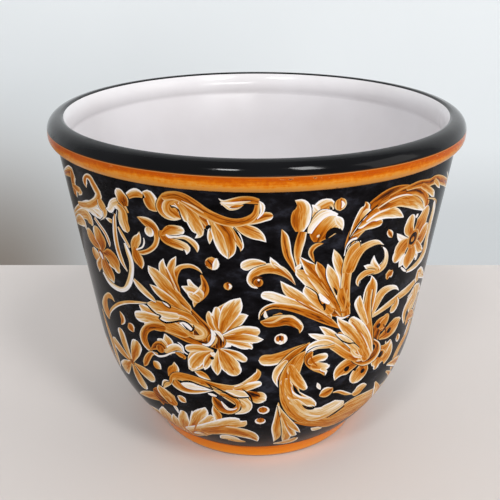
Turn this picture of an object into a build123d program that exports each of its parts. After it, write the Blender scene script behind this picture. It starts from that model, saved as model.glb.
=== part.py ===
"""Round cachepot in glazed earthenware, in millimetres.

The origin is at the centre of the foot ring's underside, with +Z up.
The pot is one thrown clay body. Its fired coats of glaze are thin solids of their own,
which lie face to face on the clay and on each other.
"""
import os
from math import asin, cos, degrees, radians, sin, tan

from build123d import *

# Driving dimensions of the whole pot
height = 218.5
rim_radius = 130.0
glaze_thickness = 0.5

# Rolled rim, outside
rim_top_radius = 8.2
rim_face_height = 2.4
rim_under_radius = 5.7
rim_cove_radius = 1.2
black_depth = 6.4

# Rolled rim, inside the mouth
mouth_edge_radius = 2.5
mouth_edge_turn = 45.0
white_depth = 1.0
nose_radius = 12.0
nose_end_turn = 20.0
nose_cove_radius = 5.0

# Tapered wall and rounded bowl
wall_thickness = 6.5
wall_taper = 7.7
bowl_height = 79.0
bowl_radius = 123.0
floor_thickness = 9.0
floor_cove_radius = 18.0

# Foot ring
foot_height = 13.2
foot_taper = 26.0
foot_ring_width = 7.5
foot_edge_radius = 1.5
bare_edge_height = 1.6
recess_height = 6.0
recess_cove_radius = 3.0

# Corners of the outline outside, from the rim down to the ground
crest_x = rim_radius - rim_top_radius
face_top_z = height - rim_top_radius
face_bottom_z = face_top_z - rim_face_height
wall_top_x = rim_radius - rim_under_radius
wall_top_z = face_bottom_z - rim_under_radius
bowl_top_x = wall_top_x - (wall_top_z - bowl_height) * tan(radians(wall_taper))
bowl_centre_x = bowl_top_x - bowl_radius * cos(radians(wall_taper))
bowl_centre_z = bowl_height + bowl_radius * sin(radians(wall_taper))
bowl_turn = degrees(asin((bowl_centre_z - foot_height) / bowl_radius)) - wall_taper
foot_top_x = bowl_centre_x + bowl_radius * cos(radians(wall_taper + bowl_turn))
foot_bottom_x = foot_top_x - foot_height * tan(radians(foot_taper))
recess_x = foot_bottom_x - foot_ring_width

# Corners of the outline inside, from the crest down to the floor
mouth_x = crest_x - mouth_edge_radius * sin(radians(mouth_edge_turn))
mouth_z = height - mouth_edge_radius * (1 - cos(radians(mouth_edge_turn)))
nose_end_x = mouth_x - nose_radius * (cos(radians(nose_end_turn)) - cos(radians(mouth_edge_turn)))
nose_end_z = mouth_z - nose_radius * (sin(radians(nose_end_turn)) + sin(radians(mouth_edge_turn)))
inner_bowl_radius = bowl_radius - wall_thickness
inner_bowl_x = bowl_centre_x + inner_bowl_radius * cos(radians(wall_taper))
inner_bowl_z = bowl_centre_z - inner_bowl_radius * sin(radians(wall_taper))
nose_gap = inner_bowl_x + (nose_end_z - inner_bowl_z) * tan(radians(wall_taper)) - nose_end_x
nose_tail = nose_gap / (sin(radians(nose_end_turn)) + cos(radians(nose_end_turn)) * tan(radians(wall_taper)))
nose_tail_x = nose_end_x + nose_tail * sin(radians(nose_end_turn))
nose_tail_z = nose_end_z - nose_tail * cos(radians(nose_end_turn))
floor_z = recess_height + floor_thickness
inner_bowl_turn = degrees(asin((bowl_centre_z - floor_z) / inner_bowl_radius)) - wall_taper
floor_x = bowl_centre_x + inner_bowl_radius * cos(radians(wall_taper + inner_bowl_turn))

# Heights where one glaze ends and the next begins
black_bottom_z = height - black_depth
white_top_z = height - white_depth


# Half outline of the pot outside, closed along the axis and the crest, then mirrored
with BuildSketch() as outside:
    with BuildLine():
        Polyline((0, height), (0, 0), (foot_bottom_x, 0), (foot_top_x, foot_height))
        JernArc(
            (bowl_top_x, bowl_height),
            (-sin(radians(wall_taper)), -cos(radians(wall_taper))),
            bowl_radius,
            -bowl_turn,
        )
        Polyline((bowl_top_x, bowl_height), (wall_top_x, wall_top_z))
        JernArc((wall_top_x, wall_top_z), (1, 0), rim_under_radius, 90)
        Line((rim_radius, face_bottom_z), (rim_radius, face_top_z))
        JernArc((rim_radius, face_top_z), (0, 1), rim_top_radius, 90)
        Line((crest_x, height), (0, height))
    make_face()
    rim_corner = outside.vertices().sort_by_distance((wall_top_x, wall_top_z))[0]
    fillet(rim_corner, rim_cove_radius)
    foot_corner = outside.vertices().sort_by_distance((foot_bottom_x, 0))[0]
    fillet(foot_corner, foot_edge_radius)
    mirror(about=Plane.YZ)

# Half outline of the hollow, from the axis up to the crest, then mirrored
with BuildSketch() as hollow:
    with BuildLine():
        Polyline((crest_x, height), (0, height), (0, floor_z), (floor_x, floor_z))
        JernArc(
            (inner_bowl_x, inner_bowl_z),
            (-sin(radians(wall_taper)), -cos(radians(wall_taper))),
            inner_bowl_radius,
            -inner_bowl_turn,
        )
        Polyline((inner_bowl_x, inner_bowl_z), (nose_tail_x, nose_tail_z), (nose_end_x, nose_end_z))
        JernArc(
            (mouth_x, mouth_z),
            (-sin(radians(mouth_edge_turn)), -cos(radians(mouth_edge_turn))),
            nose_radius,
            mouth_edge_turn + nose_end_turn,
        )
        JernArc((crest_x, height), (-1, 0), mouth_edge_radius, mouth_edge_turn)
    make_face()
    nose_corner = hollow.vertices().sort_by_distance((nose_tail_x, nose_tail_z))[0]
    fillet(nose_corner, nose_cove_radius)
    floor_corner = hollow.vertices().sort_by_distance((floor_x, floor_z))[0]
    fillet(floor_corner, floor_cove_radius)
    mirror(about=Plane.YZ)

# The recess under the base, which the foot ring goes round
with BuildSketch() as recess:
    Rectangle(2 * recess_x, recess_height, align=(Align.CENTER, Align.MIN))
    top_corners = recess.vertices().group_by(Axis.Y)[-1]
    fillet(top_corners, recess_cove_radius)

# The same outlines moved into the clay by one coat of glaze
with BuildSketch() as clay_outside:
    add(outside.sketch_local)
    offset(amount=-glaze_thickness)
    with BuildSketch(mode=Mode.PRIVATE) as bare_edge:
        add(outside.sketch_local)
        Rectangle(2 * rim_radius, bare_edge_height, align=(Align.CENTER, Align.MIN), mode=Mode.INTERSECT)
    add(bare_edge.sketch_local)

with BuildSketch() as clay_hollow:
    add(hollow.sketch_local)
    offset(amount=glaze_thickness)


def band(bottom_z, top_z):
    """The right half of the sketch plane between two heights, as a private face."""
    with BuildSketch(mode=Mode.PRIVATE) as strip:
        with Locations((0, bottom_z)):
            Rectangle(rim_radius, top_z - bottom_z, align=(Align.MIN, Align.MIN))
    return strip.sketch_local


# Clay body: wall, base, foot ring and rolled rim, thrown in one piece
with BuildPart() as clay_body:
    with BuildSketch(Plane.XZ):
        add(clay_outside.sketch_local)
        add(clay_hollow.sketch_local, mode=Mode.SUBTRACT)
        add(recess.sketch_local, mode=Mode.SUBTRACT)
        add(band(0, height), mode=Mode.INTERSECT)
    revolve(axis=Axis.Z)
clay_body.part.label = "clay_body"

# White glaze over the floor and the inside wall, up to the mouth
with BuildPart() as inside_glaze:
    with BuildSketch(Plane.XZ):
        add(clay_hollow.sketch_local)
        add(hollow.sketch_local, mode=Mode.SUBTRACT)
        add(band(0, white_top_z), mode=Mode.INTERSECT)
    revolve(axis=Axis.Z)
inside_glaze.part.label = "inside_glaze"

# Black glaze over the crest of the rim and into the mouth
with BuildPart() as rim_glaze:
    with BuildSketch(Plane.XZ):
        add(outside.sketch_local)
        add(clay_outside.sketch_local, mode=Mode.SUBTRACT)
        add(clay_hollow.sketch_local, mode=Mode.SUBTRACT)
        with BuildSketch(mode=Mode.PRIVATE) as lip:
            add(clay_hollow.sketch_local)
            add(outside.sketch_local, mode=Mode.INTERSECT)
            add(band(white_top_z, height), mode=Mode.INTERSECT)
        add(lip.sketch_local)
        add(hollow.sketch_local, mode=Mode.SUBTRACT)
        add(band(black_bottom_z, height), mode=Mode.INTERSECT)
    revolve(axis=Axis.Z)
rim_glaze.part.label = "rim_glaze"


def outside_coat(bottom_z, top_z):
    """Section of the coat on the outside of the clay, between two heights."""
    with BuildSketch(mode=Mode.PRIVATE) as coat:
        add(outside.sketch_local)
        add(clay_outside.sketch_local, mode=Mode.SUBTRACT)
        add(band(bottom_z, top_z), mode=Mode.INTERSECT)
    return coat.sketch_local


# Orange stripe round the lower half of the rolled rim
with BuildPart() as rim_stripe_glaze:
    with BuildSketch(Plane.XZ):
        add(outside_coat(wall_top_z, black_bottom_z))
    revolve(axis=Axis.Z)
rim_stripe_glaze.part.label = "rim_stripe_glaze"

# Dark painted coat from the rim down to the foot ring
with BuildPart() as wall_glaze:
    with BuildSketch(Plane.XZ):
        add(outside_coat(foot_height, wall_top_z))
    revolve(axis=Axis.Z)
wall_glaze.part.label = "wall_glaze"

# Orange coat round the foot ring, wiped clean just above the ground
with BuildPart() as foot_glaze:
    with BuildSketch(Plane.XZ):
        add(outside_coat(bare_edge_height, foot_height))
    revolve(axis=Axis.Z)
foot_glaze.part.label = "foot_glaze"

os.makedirs("parts", exist_ok=True)
export_step(clay_body.part, "parts/clay_body.step")
export_step(inside_glaze.part, "parts/inside_glaze.step")
export_step(rim_glaze.part, "parts/rim_glaze.step")
export_step(rim_stripe_glaze.part, "parts/rim_stripe_glaze.step")
export_step(wall_glaze.part, "parts/wall_glaze.step")
export_step(foot_glaze.part, "parts/foot_glaze.step")

print("foot ring radius", round(foot_bottom_x, 2), "at the ground,", round(foot_top_x, 2), "at its top")
print("mouth radius", round(mouth_x, 2), "at height", round(mouth_z, 2))
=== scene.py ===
# %% [markdown]
# A painted earthenware cachepot, dressed in Blender
#
# The pot is one thrown body of clay with a rolled rim and a foot ring. Its colours are fired
# coats of glaze: white inside, black on the roll of the rim, an orange band under it, an
# orange foot, and between the two bands a blue-black wall with a scroll of acanthus leaves,
# flowers and berries. The CAD model already has the shape, so this lesson is about paint.
# Each cell below makes one thing and prints what it made.

import math

import bpy
import numpy as np
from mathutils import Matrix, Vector
from mathutils.geometry import delaunay_2d_cdt


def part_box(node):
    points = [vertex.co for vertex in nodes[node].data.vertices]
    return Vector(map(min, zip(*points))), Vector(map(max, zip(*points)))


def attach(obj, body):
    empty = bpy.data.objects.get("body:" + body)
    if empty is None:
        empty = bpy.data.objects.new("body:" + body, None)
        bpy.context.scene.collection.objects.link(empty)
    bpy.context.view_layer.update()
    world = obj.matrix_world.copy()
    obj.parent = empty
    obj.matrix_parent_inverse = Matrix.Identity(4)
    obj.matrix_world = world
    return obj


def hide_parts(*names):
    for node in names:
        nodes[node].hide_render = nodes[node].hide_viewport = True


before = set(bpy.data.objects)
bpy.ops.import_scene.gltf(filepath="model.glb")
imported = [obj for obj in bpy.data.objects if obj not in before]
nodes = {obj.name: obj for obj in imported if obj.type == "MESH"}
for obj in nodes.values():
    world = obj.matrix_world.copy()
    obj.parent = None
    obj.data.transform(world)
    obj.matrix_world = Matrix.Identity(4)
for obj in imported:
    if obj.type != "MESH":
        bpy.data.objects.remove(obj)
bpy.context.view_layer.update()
mm = 0.001
print("pieces in the frame:", sorted(nodes))

# %% [markdown]
# The camera
#
# The camera stands where the photographer stood: in front of the pot and above it, looking
# down at 23 degrees. The ellipses of the rim and of the foot fix the tilt, the distance and
# the lens together. The pot is a little to the right of the picture's centre, which is a
# shift of the lens and not a turn of the camera.

# %% Camera
camera_back = 473.8 * mm
camera_high = 320.1 * mm
camera_tilt = 23.06
lens = 53.9
pot_right_of_centre = 6.7 / 500

camera = bpy.data.objects.new("camera", bpy.data.cameras.new("camera"))
bpy.context.scene.collection.objects.link(camera)
camera.location = (0, -camera_back, camera_high)
camera.rotation_euler = (math.radians(90 - camera_tilt), 0, 0)
camera.data.sensor_width = 36
camera.data.lens = lens
camera.data.shift_x = -pot_right_of_centre
bpy.context.scene.camera = camera
print("camera looks down by", camera_tilt, "degrees with a lens of", lens, "mm")

# %% [markdown]
# Shader maths as Python sums
#
# A material is a net of nodes. Written out node by node it is hard to read, so a small class
# wraps one socket, and the usual operators add Math nodes. Every other node comes from one
# method, `node`.

# %% A socket that can be used in sums
class Wire:
    def __init__(self, glaze, socket):
        self.glaze, self.socket = glaze, socket

    def _join(self, operation, other):
        return self.glaze.node("ShaderNodeMath", {"operation": operation}, {0: self, 1: other})

    def __add__(self, other):
        return self._join("ADD", other)

    def __sub__(self, other):
        return self._join("SUBTRACT", other)

    def __mul__(self, other):
        return self._join("MULTIPLY", other)

    def __truediv__(self, other):
        return self._join("DIVIDE", other)

    def __abs__(self):
        return self.glaze.node("ShaderNodeMath", {"operation": "ABSOLUTE"}, {0: self})

    def part(self, axis):
        return self.glaze.node("ShaderNodeSeparateXYZ", {}, {"Vector": self}, axis)

    def step(self, low, high, start=0.0, end=1.0):
        """Goes smoothly from start to end as the value goes from low to high."""
        return self.glaze.node(
            "ShaderNodeMapRange", {"interpolation_type": "SMOOTHSTEP"},
            {"Value": self, "From Min": low, "From Max": high, "To Min": start, "To Max": end})


# %% A material that is mixed from such sums
class Glaze:
    def __init__(self, name, **constants):
        self.material = bpy.data.materials.new(name)
        self.material.use_nodes = True
        self.tree = self.material.node_tree
        self.shader = self.tree.nodes["Principled BSDF"]
        for socket, value in constants.items():
            self.shader.inputs[socket.replace("_", " ")].default_value = value

    def plug(self, value, socket):
        if isinstance(value, Wire):
            self.tree.links.new(value.socket, socket)
        elif socket.type == "RGBA" and len(value) == 3:
            socket.default_value = (*value, 1)
        else:
            socket.default_value = value

    def find(self, sockets, name):
        """A Mix node has a socket of each name for every kind of data: take the one in use."""
        if isinstance(name, int):
            return sockets[name]
        return next(s for s in sockets if s.name == name and s.enabled)

    def node(self, kind, settings, inputs, out=0):
        node = self.tree.nodes.new(kind)
        for key, value in settings.items():
            if key == "stops":
                while len(node.color_ramp.elements) < len(value):
                    node.color_ramp.elements.new(0.5)
                for element, (place, colour) in zip(node.color_ramp.elements, value):
                    element.position, element.color = place, (*colour, 1)
            else:
                setattr(node, key, value)
        for name, value in inputs.items():
            self.plug(value, self.find(node.inputs, name))
        return Wire(self, self.find(node.outputs, out))

    def noise(self, where, scale, detail=2.0, rough=0.5):
        """Cloudy noise, about 0.5 on average."""
        return self.node("ShaderNodeTexNoise", {},
                         {"Vector": where, "Scale": scale, "Detail": detail, "Roughness": rough})

    def place(self):
        return self.node("ShaderNodeTexCoord", {}, {}, "Object")

    def stretch(self, where, x, y, z):
        return self.node("ShaderNodeVectorMath", {"operation": "MULTIPLY"}, {0: where, 1: (x, y, z)})

    def blend(self, mask, a, b):
        return self.node("ShaderNodeMix", {"data_type": "RGBA"},
                         {"Factor": mask, "A": a, "B": b}, "Result")

    def ramp(self, value, stops):
        return self.node("ShaderNodeValToRGB", {"stops": stops}, {"Fac": value}, "Color")

    def coat(self, **varying):
        for name, wire in varying.items():
            self.plug(wire, self.shader.inputs[name.replace("_", " ")])

    def relief(self, height, depth):
        """Hills and dips of the given depth in metres, as a Bump node that feeds Normal."""
        bump = self.node("ShaderNodeBump", {},
                         {"Height": height, "Distance": depth, "Strength": 1.0}, "Normal")
        self.plug(bump, self.shader.inputs["Normal"])


def shade(red, green, blue):
    """A colour as a screen counts it, 0 to 255, as the linear colour that a shader takes."""
    return tuple(c / 12.92 if c <= 0.04045 else ((c + 0.055) / 1.055) ** 2.4
                 for c in (red / 255, green / 255, blue / 255))


print("a middle grey of 128 is", round(shade(128, 128, 128)[0], 3), "in a shader")

# %% [markdown]
# The table and the wall behind it
#
# A glossy pot shows its surroundings, so the set matters. Here it is a pale matt table whose
# back edge stands a hand's width behind the pot, and a pale wall. The wall is far enough back
# that it does not hide the pot when one looks at it from behind.

# %% Table and wall
table_back = 238 * mm
set_width = 6.0
wall_back = 900 * mm
# Painted shade: where the table and the wall begin and end darkening towards the room's corner, down at
# the left
dark_from_x, dark_to_x = -0.18, -0.52
dark_from_z, dark_to_z = 0.12, -0.33


def sheet(name, corners, colour, painted_shade_colour):
    """A big flat board. Its colour gets darker down at its left, as painted shade where the corner of the
    room is.
    """
    mesh = bpy.data.meshes.new(name)
    mesh.from_pydata(corners, [], [tuple(range(len(corners)))])
    obj = bpy.data.objects.new(name, mesh)
    bpy.context.scene.collection.objects.link(obj)
    paint = Glaze(name, Roughness=0.75)
    cloud = paint.noise(paint.place(), 3.0)
    surface = paint.blend(cloud, shade(*colour), shade(*[c + 4 for c in colour]))
    # Painted shade: the colour blends into a darker one towards the left and down
    to_left = paint.place().part("X").step(dark_from_x, dark_to_x)
    down = paint.place().part("Z").step(dark_from_z, dark_to_z)
    paint.coat(Base_Color=paint.blend(to_left * down, surface, shade(*painted_shade_colour)))
    mesh.materials.append(paint.material)


half = set_width / 2
sheet("table",
      [(-half, -half, 0), (half, -half, 0), (half, table_back, 0), (-half, table_back, 0)],
      (214, 207, 203), (204, 197, 191))
sheet("wall",
      [(-half, wall_back, -half), (half, wall_back, -half),
       (half, wall_back, half), (-half, wall_back, half)],
      (235, 239, 241), (150, 140, 130))
print("the table ends", round(table_back / mm), "mm behind the middle of the pot")

# %% [markdown]
# Light
#
# The small bright marks on the rim are windows. Mirrored at the rim, they stand behind the
# photographer: one a little to the left, one to the right and taller. A low wide lamp lights
# the bowl of the pot, which curves away from those two, and a big faint one stands for the
# rest of the room. A soft pale sky fills what is left.

# %% Lamps and sky
aim_height = 200 * mm


def lamp(name, azimuth, elevation, away, width, height, power, colour=(1, 1, 1)):
    """An area lamp that looks at the rim. Azimuth 0 is the camera's side, and grows rightwards."""
    data = bpy.data.lights.new(name, "AREA")
    data.shape, data.size, data.size_y = "RECTANGLE", width, height
    data.energy, data.color = power, colour
    obj = bpy.data.objects.new(name, data)
    bpy.context.scene.collection.objects.link(obj)
    turn, lift = math.radians(azimuth), math.radians(elevation)
    aim = Vector((math.sin(turn) * math.cos(lift), -math.cos(turn) * math.cos(lift),
                  math.sin(lift)))
    obj.location = aim * away + Vector((0, 0, aim_height))
    obj.rotation_euler = aim.to_track_quat("Z", "Y").to_euler()


lamp("window_left", -18, 46, 2.6, 0.42, 0.3, 14)
lamp("window_right", 31, 48, 2.6, 0.4, 0.9, 22)
lamp("window_low", 20, 6, 2.6, 1.6, 0.5, 20)
lamp("room", 75, 25, 3.0, 1.6, 1.6, 9, (1, 0.98, 0.95))

sky = bpy.data.worlds.new("sky")
bpy.context.scene.world = sky
sky.use_nodes = True
sky.node_tree.nodes["Background"].inputs["Color"].default_value = (*shade(236, 238, 240), 1)
sky.node_tree.nodes["Background"].inputs["Strength"].default_value = 0.6
bpy.context.scene.view_settings.view_transform = "Standard"

# %% [markdown]
# The black roll of the rim
#
# The rim is dipped in one thick, almost black glaze. It is the glossiest place on the pot. Thick
# glaze flows a little before it sets, so its surface is wavy, and that breaks up the mirrored
# windows. The waves are a Bump node.

# %% Rim glaze
def glossy(name, colour, roughness=0.12, wave=0.00006, mirror=0.2):
    paint = Glaze(name, IOR=1.5, Specular_IOR_Level=mirror)
    where = paint.place()
    paint.relief(paint.noise(where, 70, 1) + paint.noise(where, 260, 1) * 0.3, wave)
    wear = paint.noise(where, 35, 3)
    paint.coat(Roughness=wear.step(0.3, 0.7, roughness * 0.8, roughness * 1.4),
               Base_Color=colour(paint, where))
    return paint


def black(paint, where):
    cloud = paint.noise(where, 40, 3)
    return paint.ramp(cloud, [(0.3, shade(1, 1, 3)), (0.7, shade(7, 7, 10))])


rim_paint = glossy("rim_black", black, 0.1, mirror=0.2)
nodes["rim_glaze"].data.materials[0] = rim_paint.material
print("rim painted:", rim_paint.material.name)

# %% Orange band
stripe_low, stripe_high = (corner.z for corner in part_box("rim_stripe_glaze"))


def orange_band(paint, where):
    """Deep orange at its top, ochre at its foot, with strokes that run round the pot."""
    height = (where.part("Z") - stripe_low) / (stripe_high - stripe_low)
    streak = paint.noise(paint.stretch(where, 1, 1, 14), 40, 5, 0.65)
    edge_free = height.step(0.02, 0.2) * height.step(0.92, 0.78)
    speckle = paint.noise(where, 420, 3, 0.6)
    tone = height + ((streak - 0.5) * 0.7 + (speckle - 0.5) * 0.5) * edge_free
    # Painted shade: the dark brown at the very foot of the band is shade in the crease where the roll
    # meets the wall
    return paint.ramp(tone, [
        (0.03, shade(120, 76, 30)), (0.09, shade(198, 136, 66)), (0.4, shade(204, 134, 46)),
        (0.52, shade(202, 116, 18)), (0.64, shade(190, 94, 4)), (0.84, shade(174, 72, 0)),
        (0.9, shade(176, 82, 10)), (0.925, shade(200, 132, 70)), (0.95, shade(100, 54, 22)),
        (0.965, shade(46, 30, 18))])


band_paint = glossy("band_orange", orange_band, 0.14, mirror=0.07)
nodes["rim_stripe_glaze"].data.materials[0] = band_paint.material
print("band from", round(stripe_low / mm, 1), "to", round(stripe_high / mm, 1), "mm")

# %% Orange foot
foot_low, foot_high = (corner.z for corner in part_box("foot_glaze"))


def orange_foot(paint, where):
    height = (where.part("Z") - foot_low) / (foot_high - foot_low)
    streak = paint.noise(paint.stretch(where, 1, 1, 10), 30, 4)
    tone = height + (streak - 0.5) * 0.5
    # Painted light and shade: lighter and yellower at the bottom as painted light thrown up from the
    # table, dark at the top as painted shade in the crease under the bowl
    return paint.ramp(tone, [
        (0.0, shade(232, 146, 40)), (0.3, shade(230, 130, 6)), (0.7, shade(224, 120, 0)),
        (0.9, shade(196, 98, 0)), (0.98, shade(90, 48, 12))])


foot_paint = glossy("foot_orange", orange_foot, 0.14, mirror=0.07)
nodes["foot_glaze"].data.materials[0] = foot_paint.material
print("foot from", round(foot_low / mm, 1), "to", round(foot_high / mm, 1), "mm")

# %% White inside
def tin_white(paint, where):
    cloud = paint.noise(where, 18, 3)
    return paint.ramp(cloud, [(0.3, shade(226, 222, 223)), (0.7, shade(234, 231, 233))])


inside_paint = glossy("inside_white", tin_white, 0.16, 0.00005, mirror=0.5)
nodes["inside_glaze"].data.materials[0] = inside_paint.material

# %% Bare clay
def bare_clay(paint, where):
    cloud = paint.noise(where, 60, 5)
    return paint.ramp(cloud, [(0.3, shade(176, 124, 92)), (0.7, shade(196, 146, 112))])


clay_paint = glossy("bare_clay", bare_clay, 0.6, 0.00015)
nodes["clay_body"].data.materials[0] = clay_paint.material
print("materials:", [m.name for m in bpy.data.materials])

# %% [markdown]
# The painted wall, unrolled
#
# The painter works on the wall as if it were a sheet of paper: so far round, in degrees from
# the middle of the front, and so far up from the foot, in millimetres along the wall. The
# wall is a round bowl below and a straight taper above. The functions turn a place on that
# paper into a point in space and the direction in which the wall faces there.

# %% From paper to pot
taper = math.radians(7.7)
bowl_radius = 123.0
bowl_top = 79.0
foot_top, wall_top = (corner.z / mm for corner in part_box("wall_glaze"))
wall_top_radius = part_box("wall_glaze")[1].x / mm
bowl_edge = wall_top_radius - (wall_top - bowl_top) * math.tan(taper)
centre_x = bowl_edge - bowl_radius * math.cos(taper)
centre_z = bowl_top + bowl_radius * math.sin(taper)
lowest_turn = math.asin((centre_z - foot_top) / bowl_radius)
arc_length = bowl_radius * (lowest_turn - taper)
wall_length = arc_length + (wall_top - bowl_top) / math.cos(taper)


def outline(up):
    """Radius and height in mm, and the slope of the wall, at so many mm up the wall."""
    turn = lowest_turn - np.clip(up, 0, arc_length) / bowl_radius
    above = np.clip(np.asarray(up, float) - arc_length, 0, None)
    radius = centre_x + bowl_radius * np.cos(turn) + above * math.sin(taper)
    height = centre_z - bowl_radius * np.sin(turn) + above * math.cos(taper)
    return radius, height, turn


def on_wall(round_deg, up):
    radius, height, turn = outline(up)
    a = np.radians(round_deg)
    points = np.stack([radius * np.sin(a), -radius * np.cos(a), height], -1) * mm
    facing = np.stack([np.cos(turn) * np.sin(a), -np.cos(turn) * np.cos(a), -np.sin(turn)], -1)
    return points, facing


low_degree, high_degree = (math.radians(outline(up)[0]) for up in (0, wall_length))
print("the paper is", round(wall_length, 1), "mm high, and a degree is",
      round(low_degree, 2), "to", round(high_degree, 2), "mm")

# %% [markdown]
# One stroke of the brush
#
# Every leaf, petal and stem is made of strokes. A stroke has a spine, a few given points
# with the brush's half width at each, and a smooth curve runs through them. It becomes a
# strip of small triangles, and each corner of it remembers where it is in the stroke: how far
# along, how far across, how wide the brush is there and how light the paint is. It also
# carries how white the stroke's edge is, how strong its hairs are, and a number that makes its
# hairs its own. The material reads these and does the rest. Outside the painted width each
# stroke carries a thin line of ground colour, as the painter leaves round every form.

# %% Smooth curve through a few points
def smooth(points, gap=1.6):
    """Catmull-Rom curve through rows of numbers; the first two are degrees round and mm up."""
    rows = np.array(points, float)
    ends = np.vstack([2 * rows[0] - rows[1], rows, 2 * rows[-1] - rows[-2]])
    out = []
    for a, b, c, d in zip(ends, ends[1:], ends[2:], ends[3:]):
        reach = math.hypot((c[0] - b[0]) * math.radians(outline(b[1])[0]), c[1] - b[1])
        count = max(2, math.ceil(reach / gap))
        for t in np.arange(count) / count:
            out.append(0.5 * (2 * b + (c - a) * t + (2 * a - 5 * b + 4 * c - d) * t * t
                              + (3 * b - a - 3 * c + d) * t ** 3))
    out.append(rows[-1])
    return np.array(out)


# %% Paints
PAINTS = {"k": 0.0, "r": 0.12, "d": 0.22, "g": 0.34, "o": 0.48, "c": 0.64, "p": 0.79, "w": 0.98}
NAMES = "k ink, r rust, d deep orange, g gold, o ochre, c cream, p pale, w white"


def three(letters):
    return np.array([PAINTS[letter] for letter in letters])


print("paints:", NAMES)

# %% Strokes
strokes = []
motif = ""
seed_step = 1.37


def round_start(points):
    """A stroke that grows out of another form begins with a soft, round end."""
    (a0, u0, w0), (a1, u1, _) = points[:2]
    scale = math.radians(outline(u0)[0])
    dx, dy = (a0 - a1) * scale, u0 - u1
    reach = max(math.hypot(dx, dy), 0.1)
    cap = [(a0 + dx / reach * w0 * k / scale, u0 + dy / reach * w0 * k, w0 * math.sqrt(1 - k * k))
           for k in (1.0, 0.85, 0.5)]
    return cap + list(points) if w0 > 0.5 else points


def stroke(points, base, tip, edge=0.2, grain=0.2, outlined=None, merge=0.25):
    """points: (degrees, mm up, half width in mm). base and tip: paints at left, middle and right.

    merge=0 is a form of its own, with a line of ground all round. Other strokes grow out of
    what lies below them, and have that line only where outlined asks for it.
    """
    if outlined is None:
        outlined = 0.45 if merge == 0 else 0.0
    rows = smooth(round_start(points) if merge else points)
    rows[:, 2] = np.clip(rows[:, 2], 0, None)
    scale = np.radians(outline(rows[:, 1])[0])
    steps = np.diff(rows[:, :2], axis=0)
    lengths = np.hypot(steps[:, 0] * scale[:-1], steps[:, 1])
    along = np.concatenate([[0], np.cumsum(lengths)])
    tangent = np.gradient(np.stack([rows[:, 0] * scale.mean(), rows[:, 1]], 1), axis=0)
    tangent /= np.linalg.norm(tangent, axis=1)[:, None] + 1e-9
    strokes.append({"rows": rows, "along": along, "tangent": tangent, "scale": scale,
                    "motif": motif, "base": three(base), "tip": three(tip), "edge": edge,
                    "grain": grain, "outlined": outlined, "merge": merge,
                    "seed": len(strokes) * seed_step})


def form(points, base, tip, **more):
    """A stroke that stands by itself, with a line of ground all round."""
    stroke(points, base, tip, merge=0, **more)


def rounded(points, base, tip, **more):
    """A stroke whose far end is round and not pointed."""
    (a0, u0, _), (a1, u1, w1) = points[-2:]
    scale = math.radians(outline(u1)[0])
    dx, dy = (a1 - a0) * scale, u1 - u0
    reach = math.hypot(dx, dy)
    cap = [(a1 + dx / reach * w1 * k / scale, u1 + dy / reach * w1 * k, w1 * math.sqrt(1 - k * k))
           for k in (0.4, 0.7, 0.9, 1.0)]
    stroke(list(points) + cap, base, tip, **more)


def berry(a, up, radius, bottom="gow", top=None, **more):
    """A round dot, drawn upwards as one short fat stroke."""
    points = [(a, up + radius * k, radius * math.sqrt(max(0, 1 - k * k)))
              for k in (-1, -0.85, -0.5, 0, 0.5, 0.85, 1)]
    stroke(points, bottom, top or bottom, merge=0.0, **more)


# %% [markdown]
# The painting
#
# The strokes of the front, in the order in which they are painted: what lies on top comes
# last. The letters are the paints from left to right across a stroke, as one looks along it,
# first where it starts and then where it ends.

# %% Twig and leaf at the far left
motif = "twig and leaf at the far left"
form([(-75.8, 178, 0), (-58.9, 189.9, 3.8), (-58.6, 185.1, 3.6), (-59, 179.7, 4),
        (-59.4, 174.7, 2.7)], "wgo", "wgo")
stroke([(-59.6, 180.7, 1.7), (-56.5, 180.4, 2.4), (-54.1, 180.3, 1.9), (-56.9, 176.3, 0)], "goo", "woo")
stroke([(-75.6, 151.2, 0), (-53.2, 172, 3.3), (-48.2, 172.5, 4), (-44.8, 171.9, 4),
        (-44.2, 168.8, 0)], "coo", "wpw", edge=0.25)
stroke([(-56.7, 171.6, 0.7), (-52.5, 172, 1.8), (-49.2, 171.2, 2.8),
        (-47.1, 168.7, 0.7)], "opw", "owp", outlined=0)
stroke([(-48.8, 173.3, 0.8), (-45.4, 172.8, 2.6), (-44.4, 170.3, 1.2)], "wpw", "www", outlined=0)
stroke([(-75.9, 148.9, 0), (-55.7, 165.8, 3.6), (-52.2, 163.5, 4), (-51.5, 160.6, 1)], "coc", "pco")
stroke([(-75.3, 146.1, 0), (-59.4, 158.7, 4), (-56.7, 153.9, 0)], "coc", "wcp")
stroke([(-57.9, 170.2, 1.9), (-50.9, 174, 2.5), (-46.2, 179.2, 2.6), (-44.3, 183.9, 3),
        (-44.9, 186.7, 3.1), (-45.9, 189.8, 2.9), (-46.8, 192.6, 2.6), (-48.7, 192.5, 1.5),
        (-50, 188.5, 2.5), (-49.7, 185.1, 0)], "coc", "wgp", merge=0.1)
form([(-44.5, 181.4, 2.3), (-43.9, 178, 3.5), (-43.1, 174.8, 2.5), (-43.9, 170.6, 0.6),
        (-46.6, 166.9, 0)], "ooc", "wpw")
form([(-49.1, 167.4, 1.3), (-46.9, 163.7, 1.5), (-44.9, 159.8, 1.6), (-44.1, 155.1, 1.4),
        (-44.2, 151.2, 0)], "wow", "wow")
stroke([(-39.9, 169.9, 1.2), (-41.8, 170.2, 1.4), (-43.4, 170.7, 0)], "ggo", "www")

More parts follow.
